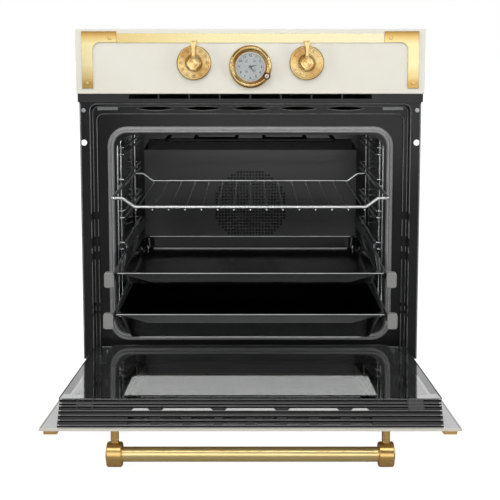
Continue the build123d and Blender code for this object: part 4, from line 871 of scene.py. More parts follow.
@dataclass
class ControlPanel:
    """The cream fascia with its brass brackets, bar and rivets, and the black vent trim."""

    bracket_width: float = 19.0
    bracket_reach: float = 59.3
    bracket_radius: float = 13.0
    bracket_thickness: float = 2.0
    bracket_edge: float = 0.7
    bar_thickness: float = 1.3
    bar_low: float = 571.5
    bar_high: float = 587.5
    bar_edge: float = 0.4

    def build(self) -> None:
        """Dresses the fascia's nodes and makes its brass trim."""
        dress(Finishes.cream_enamel, "control_panel")
        dress(Finishes.brass, "panel_rivets")
        dress(Finishes.black_paint, "vent_trim")
        self.brackets()
        self.bar()

    def brackets(self) -> None:
        """Makes the two corner brackets with their soft raised edges."""
        low, high = in_mm(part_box("panel_trim"))
        face = in_mm(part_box("control_panel"))[0].y
        reach = high.x - self.bracket_reach
        side_edge, low_edge = high.x - self.bracket_width, high.z - self.bracket_width
        radius = self.bracket_radius
        outline = [(high.x, high.z), (reach, high.z), (reach, low_edge)]
        outline += arc((side_edge - radius, low_edge - radius), radius, 90, 9)
        outline += [(side_edge, low.z), (high.x, low.z)]
        for side, name, nodes in ((-1, "left", ["panel_trim"]), (1, "right", [])):
            stock = Stock()
            stock.outline(upright([(side * x, z) for x, z in outline], face))
            stock.thicken(-self.bracket_thickness)
            stock.soften(self.bracket_edge, steps=3)
            stock.piece(f"{name}_corner_bracket", Finishes.bracket_brass, "brass", *nodes)

    def bar(self) -> None:
        """Makes the bar between the brackets."""
        half = in_mm(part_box("panel_trim"))[1].x - self.bracket_reach
        face = in_mm(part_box("control_panel"))[0].y
        stock = Stock()
        stock.bar((-half, face - self.bar_thickness, self.bar_low), (half, face, self.bar_high))
        stock.soften(self.bar_edge, steps=3)
        stock.piece("panel_bar", Finishes.bar_brass, "brass")


@dataclass
class LeverKnob:
    """A brass knob: a round skirt with its marks, a hub with an inset face, and an upright lever."""

    node: str
    body: Body
    mark_rings: bool
    mark_angles: Sequence[float] = range(30, 360, 30)
    skirt_radius: float = 29.5
    skirt_edge: float = 1.6
    skirt_thickness: float = 4.0
    groove_count: int = 9
    groove_depth: float = 0.05
    hub_radius: float = 13.0
    hub_wall: float = 2.2
    inset_depth: float = 1.6
    boss_half: float = 8.6
    boss_radius: float = 3.6
    boss_edge: float = 0.55
    shaft_radius: float = 3.0
    neck_half: float = 2.6
    tip_half: float = 5.2
    notch_half: float = 2.2
    notch_depth: float = 2.6
    lever_thickness: float = 7.0
    lever_overlap: float = 9.0
    lever_edge: float = 0.8
    mark_place: float = 22.4
    mark_radius: float = 2.7
    mark_line: float = 0.45
    mark_relief: float = 0.06
    mark_pitch: float = 1.2
    mark_bar: tuple[float, float] = (1.3, 0.22)
    tick_half: float = 0.32
    tick_long: float = 2.6
    tick_short: float = 1.6
    centre: Vector = field(init=False)
    front: float = field(init=False)
    back: float = field(init=False)
    shaft_end: float = field(init=False)
    tip: float = field(init=False)

    def __post_init__(self) -> None:
        """Takes the knob's place from its CAD node."""
        low, high = in_mm(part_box(self.node))
        self.front = low.y
        self.shaft_end = high.y
        self.back = in_mm(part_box("control_panel"))[0].y - 1.0
        self.centre = Vector(((low.x + high.x) / 2, 0.0, low.z + self.skirt_radius))
        self.tip = high.z - self.centre.z

    def build(self) -> None:
        """Makes the skirt, the hub, the boss, the lever and the marks."""
        self.skirt()
        self.hub()
        self.boss()
        self.lever()
        self.skirt_marks()

    def _end(
        self, stock: Stock, part: str, finish: Finish, *stands_for: str, centre: Vector | None = None
    ) -> None:
        """Ends one piece of this knob."""
        stock.piece(f"{self.node}_{part}", finish, "knob_brass", *stands_for, body=self.body, centre=centre)

    def _points(self, points: Iterable[Flat], along: float) -> list[Place]:
        """Places flat points round the knob's axis."""
        return upright([(self.centre.x + x, self.centre.z + z) for x, z in points], along)

    def skirt(self) -> None:
        """Turns the flat round plate with its soft edge and its faint grooves."""
        front = self.back - self.skirt_thickness
        edge, outer = self.skirt_edge, self.skirt_radius
        profile = [(self.shaft_radius, front + 1.8), (self.hub_radius + 1.0, front + 1.8)]
        start = self.hub_radius + 2.0
        span = outer - 4.0 - start
        count = self.groove_count * 4
        for step in range(count + 1):
            part = step / count
            wave = math.sin(part * self.groove_count * math.tau) * self.groove_depth
            profile.append((start + span * part, front + 0.95 - 0.5 * part + wave))
        profile += [
            (outer - 3.4, front), (outer - edge, front), (outer - edge * 0.3, front + edge * 0.3),
            (outer, front + edge), (outer, self.back), (self.shaft_radius, self.back),
        ]
        stock = Stock()
        stock.turn(profile, self.centre, closed=True)
        self._end(stock, "skirt", Finishes.turned_brass, centre=self.centre)

    def hub(self) -> None:
        """Turns the hub with its raised rim and sunk face, on its shaft."""
        outer, front = self.hub_radius, self.front
        inner = outer - self.hub_wall
        floor = front + self.inset_depth
        foot = self.back - self.skirt_thickness + 1.0
        stock = Stock()
        stock.turn([
            (0.0, floor), (inner - 0.8, floor), (inner, floor - 0.5), (inner + 0.3, front + 0.3),
            (inner + 0.9, front), (outer - 0.9, front), (outer - 0.25, front + 0.3), (outer, front + 1.1),
            (outer - 0.6, front + 6.0), (outer - 1.6, front + 12.0), (outer - 0.4, foot - 1.2),
            (outer + 0.6, foot), (self.shaft_radius, foot), (self.shaft_radius, self.shaft_end),
            (0.0, self.shaft_end),
        ], self.centre)
        self._end(stock, "hub", Finishes.turned_brass, self.node, centre=self.centre)

    def boss(self) -> None:
        """Adds the rounded square, on its corner, in the hub's sunk face."""
        half = self.boss_half
        stock = Stock()
        corners = [(half, 0.0), (0.0, half), (-half, 0.0), (0.0, -half)]
        stock.outline(self._points(corners, self.front + self.inset_depth), radius=self.boss_radius)
        stock.thicken(0.1 - self.inset_depth)
        stock.soften(self.boss_edge, steps=3, least=50)
        self._end(stock, "boss", Finishes.turned_brass, centre=self.centre)

    def lever(self) -> None:
        """Adds the upright lever, waisted, with a notch in its tip."""
        tip, start = self.tip, self.lever_overlap
        right = [
            (self.neck_half + 0.9, start), (self.neck_half, start + 5.0), (self.neck_half + 0.2, tip - 14.0),
            (self.tip_half - 0.9, tip - 8.0), (self.tip_half, tip - 4.6), (self.tip_half - 0.6, tip - 1.2),
            (self.notch_half + 1.2, tip), (self.notch_half, tip - 0.6),
        ]
        left = [(-across, up) for across, up in reversed(right)]
        stock = Stock()
        stock.outline(self._points([*right, (0.0, tip - self.notch_depth), *left], self.front + 0.9))
        stock.thicken(self.lever_thickness)
        stock.soften(self.lever_edge, steps=3, least=40)
        self._end(stock, "lever", Finishes.upright_brass)

    def skirt_marks(self) -> None:
        """Sinks small generic marks into the skirt, as rings with bars or as ticks."""
        stock = Stock()
        face = self.back - self.skirt_thickness + 0.35
        for number, angle in enumerate(self.mark_angles):
            middle = Vector(self._points([clockwise(self.mark_place, angle)], face)[0])
            if self.mark_rings:
                self._ring_mark(stock, middle, number)
            else:
                long = self.tick_short if number % 3 else self.tick_long
                reach = (self.tick_half, self.mark_relief, long)
                spin = Matrix.Translation(middle * MM) @ Matrix.Rotation(math.radians(angle), 4, "Y")
                stock.bar([-side for side in reach], reach, spin)
        self._end(stock, "marks", Finishes.engraving)

    def _ring_mark(self, stock: Stock, middle: Vector, number: int) -> None:
        """Adds one small ring with one, two or three bars in it."""
        outer, thick = self.mark_radius, self.mark_relief
        ring = rectangle(outer - self.mark_line, outer, middle.y - thick, middle.y + thick)
        stock.turn(ring, middle, closed=True, steps=20)
        half = Vector((self.mark_bar[0], thick, self.mark_bar[1]))
        bars = number % 3 + 1
        for place in range(bars):
            centre = middle + UPWARD * (place - (bars - 1) / 2) * self.mark_pitch
            stock.bar(centre - half, centre + half)


@dataclass
class Clock:
    """The round clock: bezel, printed face, hands, glass and setting knob."""

    bore: float = 25.3
    lip_outer: float = 27.0
    numeral_place: float = 19.2
    numeral_height: float = 5.4
    track_radius: float = 22.6
    chapter_outer: float = 25.15
    chapter_rise: float = 0.5
    minute_half: float = 0.12
    minute_length: float = 0.9
    icon_radius: float = 2.5
    icon_places: Sequence[Flat] = ((-6.6, 9.6), (6.6, 9.6), (-6.8, -8.4), (7.0, -6.4))
    hour_angle: float = 148.0
    minute_angle: float = 76.0
    hand_thickness: float = 0.45
    centre: Vector = field(init=False)
    face: float = field(init=False)

    def __post_init__(self) -> None:
        """Takes the clock's middle from its dial."""
        low, high = in_mm(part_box("clock_dial"))
        self.centre = (low + high) / 2
        self.face = low.y

    def build(self) -> None:
        """Dresses the clock's nodes and prints its face."""
        self.bezel()
        dress(Finishes.dial_face, "clock_dial")
        dress(Finishes.clear_cover, "clock_glass")
        dress(Finishes.dark_plastic, "clock_case")
        self.numerals()
        self.chapter_ring()
        self.icons()
        self.hand("hour_hand", Body.HOUR_HAND, self.hour_angle, reach=11.4, stem=1.6)
        self.hand("minute_hand", Body.MINUTE_HAND, self.minute_angle, reach=12.2, stem=0.8)
        self.setting_knob()

    def bezel(self) -> None:
        """Turns the full round ring with its stepped inner lip."""
        low, high = in_mm(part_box("clock_bezel"))
        lip, bore = self.lip_outer, self.bore
        half = ((high.x - low.x) / 2 - lip) / 2
        rounds = [math.pi * step / 16 for step in range(16)]
        profile = [
            (lip + half + half * math.cos(turn), (high.y - low.y) * math.sin(turn) ** 0.8) for turn in rounds
        ]
        profile += [
            (lip, 2.4), (lip - 0.2, 2.2), (lip - 0.6, 2.6), (bore + 0.4, 2.7), (bore, 2.3), (bore, 0.0),
        ]
        stock = Stock()
        stock.turn([(radius, high.y - up) for radius, up in profile], self.centre, closed=True, steps=96)
        stock.piece(
            "clock_bezel_ring", Finishes.turned_brass, "brass", "clock_bezel", centre=self.centre, smooth=45
        )

    def numerals(self) -> None:
        """Prints the hours round the face."""
        stock = Stock()
        for hour in range(1, 13):
            across, up = clockwise(self.numeral_place, hour * 30)
            middle = Vector((self.centre.x + across, self.face - stock.numeral_rise, self.centre.z + up))
            stock.add_text(str(hour), self.numeral_height, Matrix.Translation(middle * MM) @ FACE_ON)
        stock.piece("clock_numerals", Finishes.dial_ink, "clock_dial")

    def _ring(
        self, stock: Stock, centre: Vector, inner: float, outer: float, rise: float, steps: int = 96
    ) -> None:
        """Turns one flat ring on the face."""
        stock.turn(rectangle(inner, outer, self.face - rise, self.face), centre, closed=True, steps=steps)

    def chapter_ring(self) -> None:
        """Adds the pale outer ring with its thin track and minute marks."""
        track = self.track_radius
        pale = Stock()
        self._ring(pale, self.centre, track + 0.25, self.chapter_outer, self.chapter_rise)
        pale.piece("clock_chapter_ring", Finishes.dial_ring, "clock_dial")
        ink = Stock()
        self._ring(ink, self.centre, track - 0.15, track + 0.2, 0.1)
        for minute in range(60):
            low = (-self.minute_half, self.face - 0.09, track - self.minute_length)
            ink.bar(low, (self.minute_half, self.face, track), dial_turn(self.centre, minute * 6))
        ink.piece("clock_minute_track", Finishes.dial_ink, "clock_dial")

    def icons(self) -> None:
        """Prints four small generic round marks on the face."""
        stock = Stock()
        for across, up in self.icon_places:
            middle = self.centre + Vector((across, 0, up))
            self._ring(stock, middle, self.icon_radius - 0.45, self.icon_radius, 0.08, 24)
            self._ring(stock, middle, 0.25, 0.9, 0.08, 16)
        stock.piece("clock_icons", Finishes.dial_ink, "clock_dial")

    def hand(self, node: str, body: Body, angle: float, reach: float, stem: float) -> None:
        """Makes one tapered pointer with a short tail, drawn pointing right and then turned.

        Args:
            node: The CAD node that it stands for.
            body: The body that it rides on.
            angle: Degrees clockwise from upright.
            reach: Its length.
            stem: Its stem's radius.
        """
        low, high = in_mm(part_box(node))
        front = low.y
        outline = [(-3.2, 0.55), (-3.2, -0.55), (2.0, -1.25), (reach, -0.3), (reach, 0.3), (2.0, 1.25)]
        stock = Stock()
        stock.outline(upright(outline, front))
        stock.thicken(self.hand_thickness)
        stock.soften(0.12)
        stock.mesh.transform(dial_turn(self.centre, angle - 90))
        stock.turn([
            (0.0, front), (2.3, front), (2.4, front + 0.1), (2.4, front + 0.5), (stem, front + 0.5),
            (stem, high.y), (0.0, high.y),
        ], self.centre, steps=32)
        stock.piece(f"{node}_pointer", Finishes.hand_brown, "clock_hands", node, body=body)

    def setting_knob(self) -> None:
        """Makes the small knob: a dark ring round a cream cap with a dot."""
        low, high = in_mm(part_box("clock_setting_knob"))
        front, end = low.y, high.y
        back = in_mm(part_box("clock_bezel"))[0].y - 0.3
        ring = [
            (3.9, front + 1.0), (4.2, front + 0.35), (5.0, front), (5.6, front + 0.5), (6.0, front + 1.5),
            (6.0, back), (1.5, back), (1.5, end), (0.0, end),
        ]
        cap = [(0.0, 0.25), (2.4, 0.3), (3.6, 0.6), (4.0, 1.2), (4.0, 2.4), (0.0, 2.4)]
        dot = [(0.0, 0.1), (1.0, 0.12), (1.15, 0.2), (1.15, 0.6), (0.0, 0.6)]
        cap, dot = ([(radius, front + along) for radius, along in profile] for profile in (cap, dot))
        for part, profile, finish, steps, nodes in (
            ("ring", ring, Finishes.ring_dark, 48, ["clock_setting_knob"]),
            ("cap", cap, Finishes.cap_cream, 48, []),
            ("dot", dot, Finishes.ring_dark, 24, []),
        ):
            stock = Stock()
            stock.turn(profile, (low + high) / 2, steps=steps)
            stock.piece(f"setting_knob_{part}", finish, "knob_brass", *nodes, body=Body.SETTING_KNOB)


@dataclass
class FrontFrame:
    """The black pressed frame with its painted highlight lines along its edges, painted glint plates, screws
    and the door's seal.

    Each of the edges has half its width, its top, its Y and its line's radius. Its sides are seen in the
    edge runs alone. The gasket's section is how far in and how far up, as a share of its height.
    """

    step_radius: float = 12.0
    edges: Sequence[tuple[float, float, float, float]] = (
        (277.4, 467.0, -1.2, 0.55), (275.2, 462.0, 21.4, 0.85), (268.4, 448.4, 22.2, 0.85),
    )
    edge_runs: Sequence[Flat] = ((20, 92), (98, 106), (112, 190), (205, 214), (232, 262), (276, 460))
    flange_roll: float = 1.3
    gasket_corner: float = 35.0
    gasket_section: Sequence[Flat] = (
        (0.3, 0.34), (1.2, 0.50), (4.4, 0.56), (5.4, 0.50), (6.0, 0.62), (6.8, 0.86), (8.0, 0.98),
        (9.2, 0.98), (10.4, 0.84), (11.3, 0.55), (11.8, 0.10),
    )
    lens_count: int = 5
    lens_pitch: float = 83.0
    lens_half: float = 32.5
    lens_rise: float = 3.5
    lip_wire: float = 0.85
    step_top: float = 467.0
    recess_top: float = 448.5
    ledge_y: float = 22.0
    plate_inner: float = 231.0
    plate_outer: float = 267.0
    plate_half: float = 2.9
    plate_thickness: float = 0.9
    plate_edge: float = 0.5

    def build(self) -> None:
        """Dresses the frame and adds its seal and its painted highlights."""
        dress(Finishes.black_enamel, "front_frame")
        dress(Finishes.zinc_steel, "frame_screws", "hinge_receivers")
        self.gasket()
        self.edge_lines()
        self.flange_edges()
        self.lens_lips()
        self.catch_plates()

    def gasket(self) -> None:
        """Makes the seal with its flat outer lip and its round inner bead."""
        low, high = in_mm(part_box("door_gasket"))
        stock = Stock()
        corners = upright(rectangle(low.x, high.x, low.z, high.z), high.y)
        stock.outline(corners, radius=self.gasket_corner, steps=14)
        stock.face_towards((0, -1, 0))
        stock.step_in([(across, height * (high.y - low.y)) for across, height in self.gasket_section])
        bmesh.ops.delete(stock.mesh, geom=stock.widest(), context="FACES_ONLY")
        stock.piece("cavity_seal", Finishes.gasket, "gasket", "door_gasket", smooth=60)

    def _bright(self, stock: Stock, name: str) -> None:
        """Ends a piece of painted highlights in light grey."""
        stock.piece(name, Finishes.bright_edge, "black_enamel")

    def flange_edges(self) -> None:
        """Adds the rolled outer edges of the frame's two flanges, in light grey: a painted highlight of their
        lit edges.
        """
        stock = Stock()
        low, high = in_mm(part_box("front_frame"))
        reach = high.x - self.flange_roll
        for ends in zip(pair(reach, low.y + 0.6, low.z + 2), pair(reach, low.y + 0.6, self.step_top)):
            stock.add_wire(ends, self.flange_roll)
        self._bright(stock, "flange_edges")

    def edge_lines(self) -> None:
        """Adds painted highlight lines along the pressed edges of the two steps, broken where the sides are
        dimpled.
        """
        stock = Stock()
        radius = self.step_radius
        for half, top, y, wire in self.edges:
            foot = top - radius
            arch = arc((radius - half, foot), radius, 180, 7) + arc((half - radius, foot), radius, 90, 7)
            stock.add_wire(upright(arch, y), wire)
            for side in SIDES:
                for start, end in self.edge_runs:
                    stock.add_wire([(side * half, y, start), (side * half, y, min(end, foot))], wire)
        self._bright(stock, "frame_edge_lines")

    def lens_lips(self) -> None:
        """Adds the rolled lower lip of each air slot, in light grey: a painted highlight where it catches the
        light.
        """
        stock = Stock()
        middle = (self.step_top + self.recess_top) / 2
        for index in range(self.lens_count):
            x = (index - (self.lens_count - 1) / 2) * self.lens_pitch
            parts = [step / 6 - 1 for step in range(13)]
            lip = [(x + part * self.lens_half, middle - self.lens_rise * (1 - part ** 2)) for part in parts]
            stock.add_wire(upright(lip, self.ledge_y - 0.1), self.lip_wire)
        self._bright(stock, "lens_slot_lips")

    def catch_plates(self) -> None:
        """Adds a small light grey plate at each end of the row of slots, a painted glint."""
        stock = Stock()
        middle = (self.step_top + self.recess_top) / 2
        low, high = middle - self.plate_half, middle + self.plate_half
        for side in SIDES:
            corners = rectangle(side * self.plate_inner, side * self.plate_outer, low, high)
            stock.outline(upright(corners, self.ledge_y - self.plate_thickness))
        stock.thicken(self.plate_thickness)
        stock.soften(self.plate_edge, steps=3)
        self._bright(stock, "catch_plates")


@dataclass
class Cavity:
    """The enamelled oven space with what is fixed in it."""

    shoulder_inset: float = 8.0
    shoulder_rise: float = 20.8
    shoulder_front: float = 1.5
    shoulder_rear: float = 1.0
    shoulder_gap: float = 0.35
    shoulder_thickness: float = 0.3

    def build(self) -> None:
        """Dresses the cavity's nodes."""
        dress(Finishes.cavity_enamel, "cavity_liner")
        cover = Stock.copy_of("rear_fan_cover")
        cover.piece("fan_cover_panel", Finishes.cover_enamel, "black_enamel", "rear_fan_cover", smooth=25)
        self.cover_shoulder()
        dress(Finishes.element_steel, "grill_element", "ring_element", "bottom_element", "temperature_probe")
        dress(Finishes.fan_blade, "convection_fan", "cooling_impeller")
        dress(Finishes.motor_case, "fan_motor", "cooling_motor")
        dress(Finishes.clear_cover, "lamp_glass")
        dress(Finishes.dark_plastic, "lamp_holder")
        dress(Finishes.chrome_wire, "side_ladders")

    def cover_shoulder(self) -> None:
        """Adds a thin sheet on the fan cover's sloped top, in a much lighter enamel: painted light where that
        slope lies in shade.
        """
        low, high = in_mm(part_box("rear_fan_cover"))
        half = high.x - self.shoulder_inset
        foot = high.z - self.shoulder_rise + self.shoulder_gap
        slope = self.shoulder_rise / (high.y - low.y)
        corners = rectangle(-half, half, low.y + self.shoulder_front, high.y - self.shoulder_rear)
        stock = Stock()
        stock.outline([(x, y, foot + (y - low.y) * slope) for x, y in corners])
        stock.thicken(self.shoulder_thickness, UPWARD)
        stock.piece("fan_cover_shoulder", Finishes.shoulder_enamel, "black_enamel")


@dataclass(frozen=True)
class TraySize:
    """The sizes of one pressed tray: its depth, its rim's width and how far its walls slope in."""

    node: str
    body: Body
    deep: float
    wall: float
    taper: float


@dataclass
class ShelfAndTrays:
    """The chrome shelf, the two enamelled trays and their telescopic runners."""

    wire_count: int = 15
    wire_radius: float = 1.3
    wire_gap: float = 0.2
    cross_end: float = 4.0
    sheet: float = 1.2
    rim_corner: float = 6.0
    mouth_corner: float = 26.0
    lip_height: float = 14.0
    lip_setback: float = 3.0
    lip_end_taper: float = 46.0
    lip_margin: float = 10.0
    line_wire: float = 0.62
    line_margin: float = 5.0
    cap_length: float = 12.05
    cap: Shade = (146, 146, 145)
    trays: Sequence[TraySize] = (
        TraySize("upper_tray", Body.UPPER_TRAY, deep=23.5, wall=13.5, taper=7.0),
        TraySize("lower_tray", Body.LOWER_TRAY, deep=43.0, wall=6.0, taper=20.0),
    )

    def build(self) -> None:
        """Dresses the shelf and the runners and makes the shelf's wires and the trays."""
        dress(Finishes.chrome_wire, "shelf_frame")
        self.shelf_wires()
        for size in self.trays:
            self.pan(size)
            self.lip(size)
            self.bright_lines(size)
        dress(Finishes.zinc_steel, "runner_fixed_rails", "upper_middle_rails", "lower_middle_rails")
        for level in ("upper", "lower"):
            node = f"{level}_sliding_rails"
            back = in_mm(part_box(node))[0].y + self.cap_length
            steel = CappedSteel(*ZINC_SURFACE, **ZINC, name=f"{level}_runner", cap=self.cap, cap_back=back)
            dress(steel, node)

    def shelf_wires(self) -> None:
        """Makes the shelf's thin wires, which run from front to rear alone."""
        low, high = in_mm(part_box("shelf_grid"))
        reach = high.x - self.cross_end
        z = high.z - self.wire_radius
        stock = Stock()
        for index in range(self.wire_count):
            x = (2 * index / (self.wire_count - 1) - 1) * reach
            stock.add_wire([(x, low.y + self.wire_gap, z), (x, high.y - self.wire_gap, z)], self.wire_radius)
        stock.soften(0.5, least=60)
        stock.piece("shelf_wires", Finishes.chrome_wire, "chrome_wire", "shelf_grid", body=Body.SHELF)

    def pan(self, size: TraySize) -> None:
        """Presses one tray: a flat rim, rolled walls and a floor."""
        low, high = in_mm(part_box(size.node))
        wall, taper, deep = size.wall, size.taper, size.deep - self.sheet
        rim = rectangle(-high.x, high.x, low.y, high.y)
        mouth = rectangle(wall - high.x, high.x - wall, low.y + wall, high.y - wall)
        rim, mouth = ([(x, y, high.z) for x, y in corners] for corners in (rim, mouth))
        stock = Stock()
        stock.outline(rim, radius=self.rim_corner, steps=4)
        stock.outline(mouth, radius=self.mouth_corner, steps=8)
        stock.fill_between()
        stock.mesh.normal_update()
        down = [face for face in stock.mesh.faces if face.normal.z < 0]
        bmesh.ops.reverse_faces(stock.mesh, faces=down)
        stock.outline(mouth, radius=self.mouth_corner, steps=8)
        stock.face_towards((0, 0, 1))
        stock.step_in([
            (0.5, -0.15), (1.0, -0.6), (1.3, -1.3), (taper - 2.2, 4.2 - deep), (taper - 1.0, 1.9 - deep),
            (taper + 0.8, 0.5 - deep), (taper + 3.2, -deep),
        ])
        stock.merge(0.02)
        made = stock.piece(
            f"{size.node}_pan", Finishes.tray_enamel, "black_enamel", size.node, body=size.body, smooth=50
        )
        skin = made.modifiers.new("sheet", "SOLIDIFY")
        skin.thickness = self.sheet * MM
        skin.offset = -1.0
        made.modifiers.move(1, 0)

    def lip(self, size: TraySize) -> None:
        """Adds the sloped lip under the front rim, with its tapered ends, in a lighter copy of the tray's
        enamel that paints light on the lip.
        """
        low, high = in_mm(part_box(size.node))
        half = high.x - self.lip_margin
        left, right = pair(half, low.y, high.z - 0.5)
        foot = pair(half - self.lip_end_taper, low.y + self.lip_setback, high.z - self.lip_height)
        stock = Stock()
        stock.outline([left, *foot, right])
        stock.thicken(self.sheet)
        stock.soften(0.4)
        stock.piece(f"{size.node}_front_lip", Finishes.lip_enamel, "black_enamel", body=size.body)

    def bright_lines(self, size: TraySize) -> None:
        """Adds painted highlight lines along the pressed edges, where the rounded enamel catches the light.
        """
        low, high = in_mm(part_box(size.node))
        wire = self.line_wire
        turn = 0.55 * self.mouth_corner
        rear, half = high.y - size.wall, high.x - size.wall
        foot_rear, foot_half = rear - size.taper, half - size.taper
        floor = high.z - (size.deep - self.sheet - 0.8)
        stock = Stock()
        stock.add_wire(pair(high.x - self.line_margin, low.y + 0.5, high.z), wire)
        if size.body is Body.UPPER_TRAY:
            inset = turn * 0.35
            top = pair(half - inset, rear - inset, high.z)
            for ends in zip(top, pair(foot_half - inset, foot_rear - inset, floor)):
                stock.add_wire(ends, wire * 1.5)
            stock.add_wire(pair(half - turn, rear, high.z), wire * 1.3)
            stock.add_wire(pair(foot_half - turn, foot_rear, floor), wire * 1.3)
        else:
            start = low.y + size.wall + size.taper
            stock.add_wire(pair(foot_half - turn, start - wire, high.z - size.deep + wire), wire)
        stock.piece(f"{size.node}_bright_lines", Finishes.worn_edge, "black_enamel", body=size.body)


@dataclass
class Door:
    """The open door: outer, middle and inner glass, the louvre, rails, hinges, trim and handle.

    The pieces are drawn on the closed door and turned to where it rests, open.
    """

    glass: float = 4.0
    face: float = -20.0
    inner_face: float = 19.0
    half: float = 297.5
    bottom: float = 9.0
    top: float = 480.0
    body_half: float = 273.5
    body_bottom: float = 16.0
    body_top: float = 446.0
    window_half: float = 200.0
    window_bottom: float = 112.0
    window_top: float = 408.0
    window_radius: float = 14.0
    window_gap: float = 0.05
    notch_half: float = 244.0
    notch_top: float = 33.0
    print_half: float = 258.0
    print_bottom: float = 46.0
    print_top: float = 420.0
    print_radius: float = 10.0
    print_thickness: float = 0.1
    louvre_foot: float = 424.0
    edge_wire: float = 0.8
    open_place: Matrix = field(init=False)

    def __post_init__(self) -> None:
        """Works out how the closed door is turned to where it rests, open."""
        hinge = next(joint for joint in frame["joints"] if joint["name"] == "door_hinge")
        pivot = Matrix.Translation(hinge["pos_m"])
        angle = math.radians(hinge["range_deg"][1])
        self.open_place = pivot @ Matrix.Rotation(angle, 4, "X") @ pivot.inverted()

    def build(self) -> None:
        """Makes the glasses and dresses the rest."""
        dress(Finishes.middle_glass, "door_middle_glass")
        dress(Finishes.black_paint, "door_side_rails", "door_bottom_rail")
        dress(Finishes.zinc_steel, "hinge_cheeks")
        dress(Finishes.brass, "door_trim", "handle_brackets")
        dress(Finishes.rod_brass, "handle_rod")
        self.inner_glass()
        self.inner_print()
        self.inner_edges()
        self.outer_cream()
        self.outer_window()
        self.outer_backing()
        self.outer_margin()
        Louvre(self.open_place).build()

    def _outline(
        self, stock: Stock, half: float, low: float, high: float, y: float,
        radius: float = 0.0, steps: int = 6,
    ) -> None:
        """Outlines an upright rectangle on the closed door."""
        stock.outline(upright(rectangle(-half, half, low, high), y), radius=radius, steps=steps)

    def _window(self, stock: Stock, y: float, gap: float = 0.0) -> None:
        """Outlines the outer pane's window, smaller by a gap."""
        self._outline(
            stock, self.window_half - gap, self.window_bottom + gap, self.window_top - gap, y,
            radius=self.window_radius,
        )

    def _end(self, stock: Stock, name: str, finish: Finish, slot: str, *stands_for: str) -> None:
        """Turns a piece of the closed door to where the door rests and ends it."""
        stock.mesh.transform(self.open_place)
        stock.piece(name, finish, slot, *stands_for, body=Body.DOOR)

    def inner_glass(self) -> None:
        """Makes the clear inner pane, notched at its foot for the hinges."""
        half, low, high = self.body_half, self.body_bottom, self.body_top
        notch, step = self.notch_half, self.notch_top
        right = [(notch, low), (notch, step), (half, step), (half, high)]
        left = [(-x, z) for x, z in reversed(right)]
        stock = Stock()
        stock.outline(upright(right + left, self.inner_face - self.glass))
        stock.thicken(self.glass)
        stock.soften(0.5)
        self._end(stock, "inner_glass_pane", Finishes.clear_glass, "door_glass", "door_inner_glass")

    def inner_print(self) -> None:
        """Adds the black printed border on the inner pane's hidden side."""
        y = self.inner_face - self.glass - 0.12
        stock = Stock()
        self._outline(stock, self.body_half - 1.0, self.notch_top + 1.0, self.body_top - 1.0, y)
        self._outline(stock, self.print_half, self.print_bottom, self.print_top, y, radius=self.print_radius)
        stock.fill_between()
        stock.thicken(self.print_thickness)
        self._end(stock, "inner_glass_print", Finishes.black_print, "door_glass")

    def inner_edges(self) -> None:
        """Adds the black ground edges along the inner pane's two sides."""
        stock = Stock()
        feet = pair(self.body_half, self.inner_face, self.notch_top + 1.0)
        for ends in zip(feet, pair(self.body_half, self.inner_face, self.body_top - 1.0)):
            stock.add_wire(ends, self.edge_wire)
        self._end(stock, "inner_glass_edges", Finishes.black_print, "door_glass")

    def outer_cream(self) -> None:
        """Makes the cream outer pane round its window."""
        stock = Stock()
        self._outline(stock, self.half, self.bottom, self.top, self.face, radius=2.0, steps=3)
        self._window(stock, self.face)
        stock.fill_between()
        stock.thicken(self.glass)
        stock.soften(0.6)
        self._end(stock, "outer_glass_cream", Finishes.cream_glass, "cream_glass", "door_outer_glass")

    def outer_window(self) -> None:
        """Makes the clear window in the outer pane."""
        stock = Stock()
        self._window(stock, self.face + self.window_gap, self.window_gap)
        stock.thicken(self.glass - 2 * self.window_gap)
        self._end(stock, "outer_glass_window", Finishes.window_glass, "door_glass")

    def outer_backing(self) -> None:
        """Adds the black print behind the outer pane, inside the door's body."""
        y = self.face + self.glass
        stock = Stock()
        self._outline(stock, self.body_half - 0.5, self.body_bottom, self.louvre_foot, y)
        self._window(stock, y)
        stock.fill_between()
        stock.thicken(self.print_thickness)
        self._end(stock, "outer_glass_backing", Finishes.black_print, "door_glass")

    def outer_margin(self) -> None:
        """Adds the grey back of the cream paint along the pane's sides, with its black line."""
        y = self.face + self.glass
        low, high = self.bottom + 1.0, self.top - 1.0
        grey = Stock()
        line = Stock()
        for side in SIDES:
            edges = [side * edge for edge in (self.body_half + 0.5, self.half - 1.2)]
            grey.outline(upright(rectangle(*edges, low, high), y))
            edges = [side * edge for edge in (self.half - 3.4, self.half - 2.2)]
            line.outline(upright(rectangle(*edges, low, high), y + 0.08))
        self._outline(grey, self.body_half - 0.5, self.louvre_foot + 0.5, self.top - 5.0, y)
        grey.thicken(0.08)
        line.thicken(0.06)
        self._end(grey, "outer_glass_margin", Finishes.margin_grey, "cream_glass")
        self._end(line, "outer_glass_line", Finishes.black_print, "door_glass")


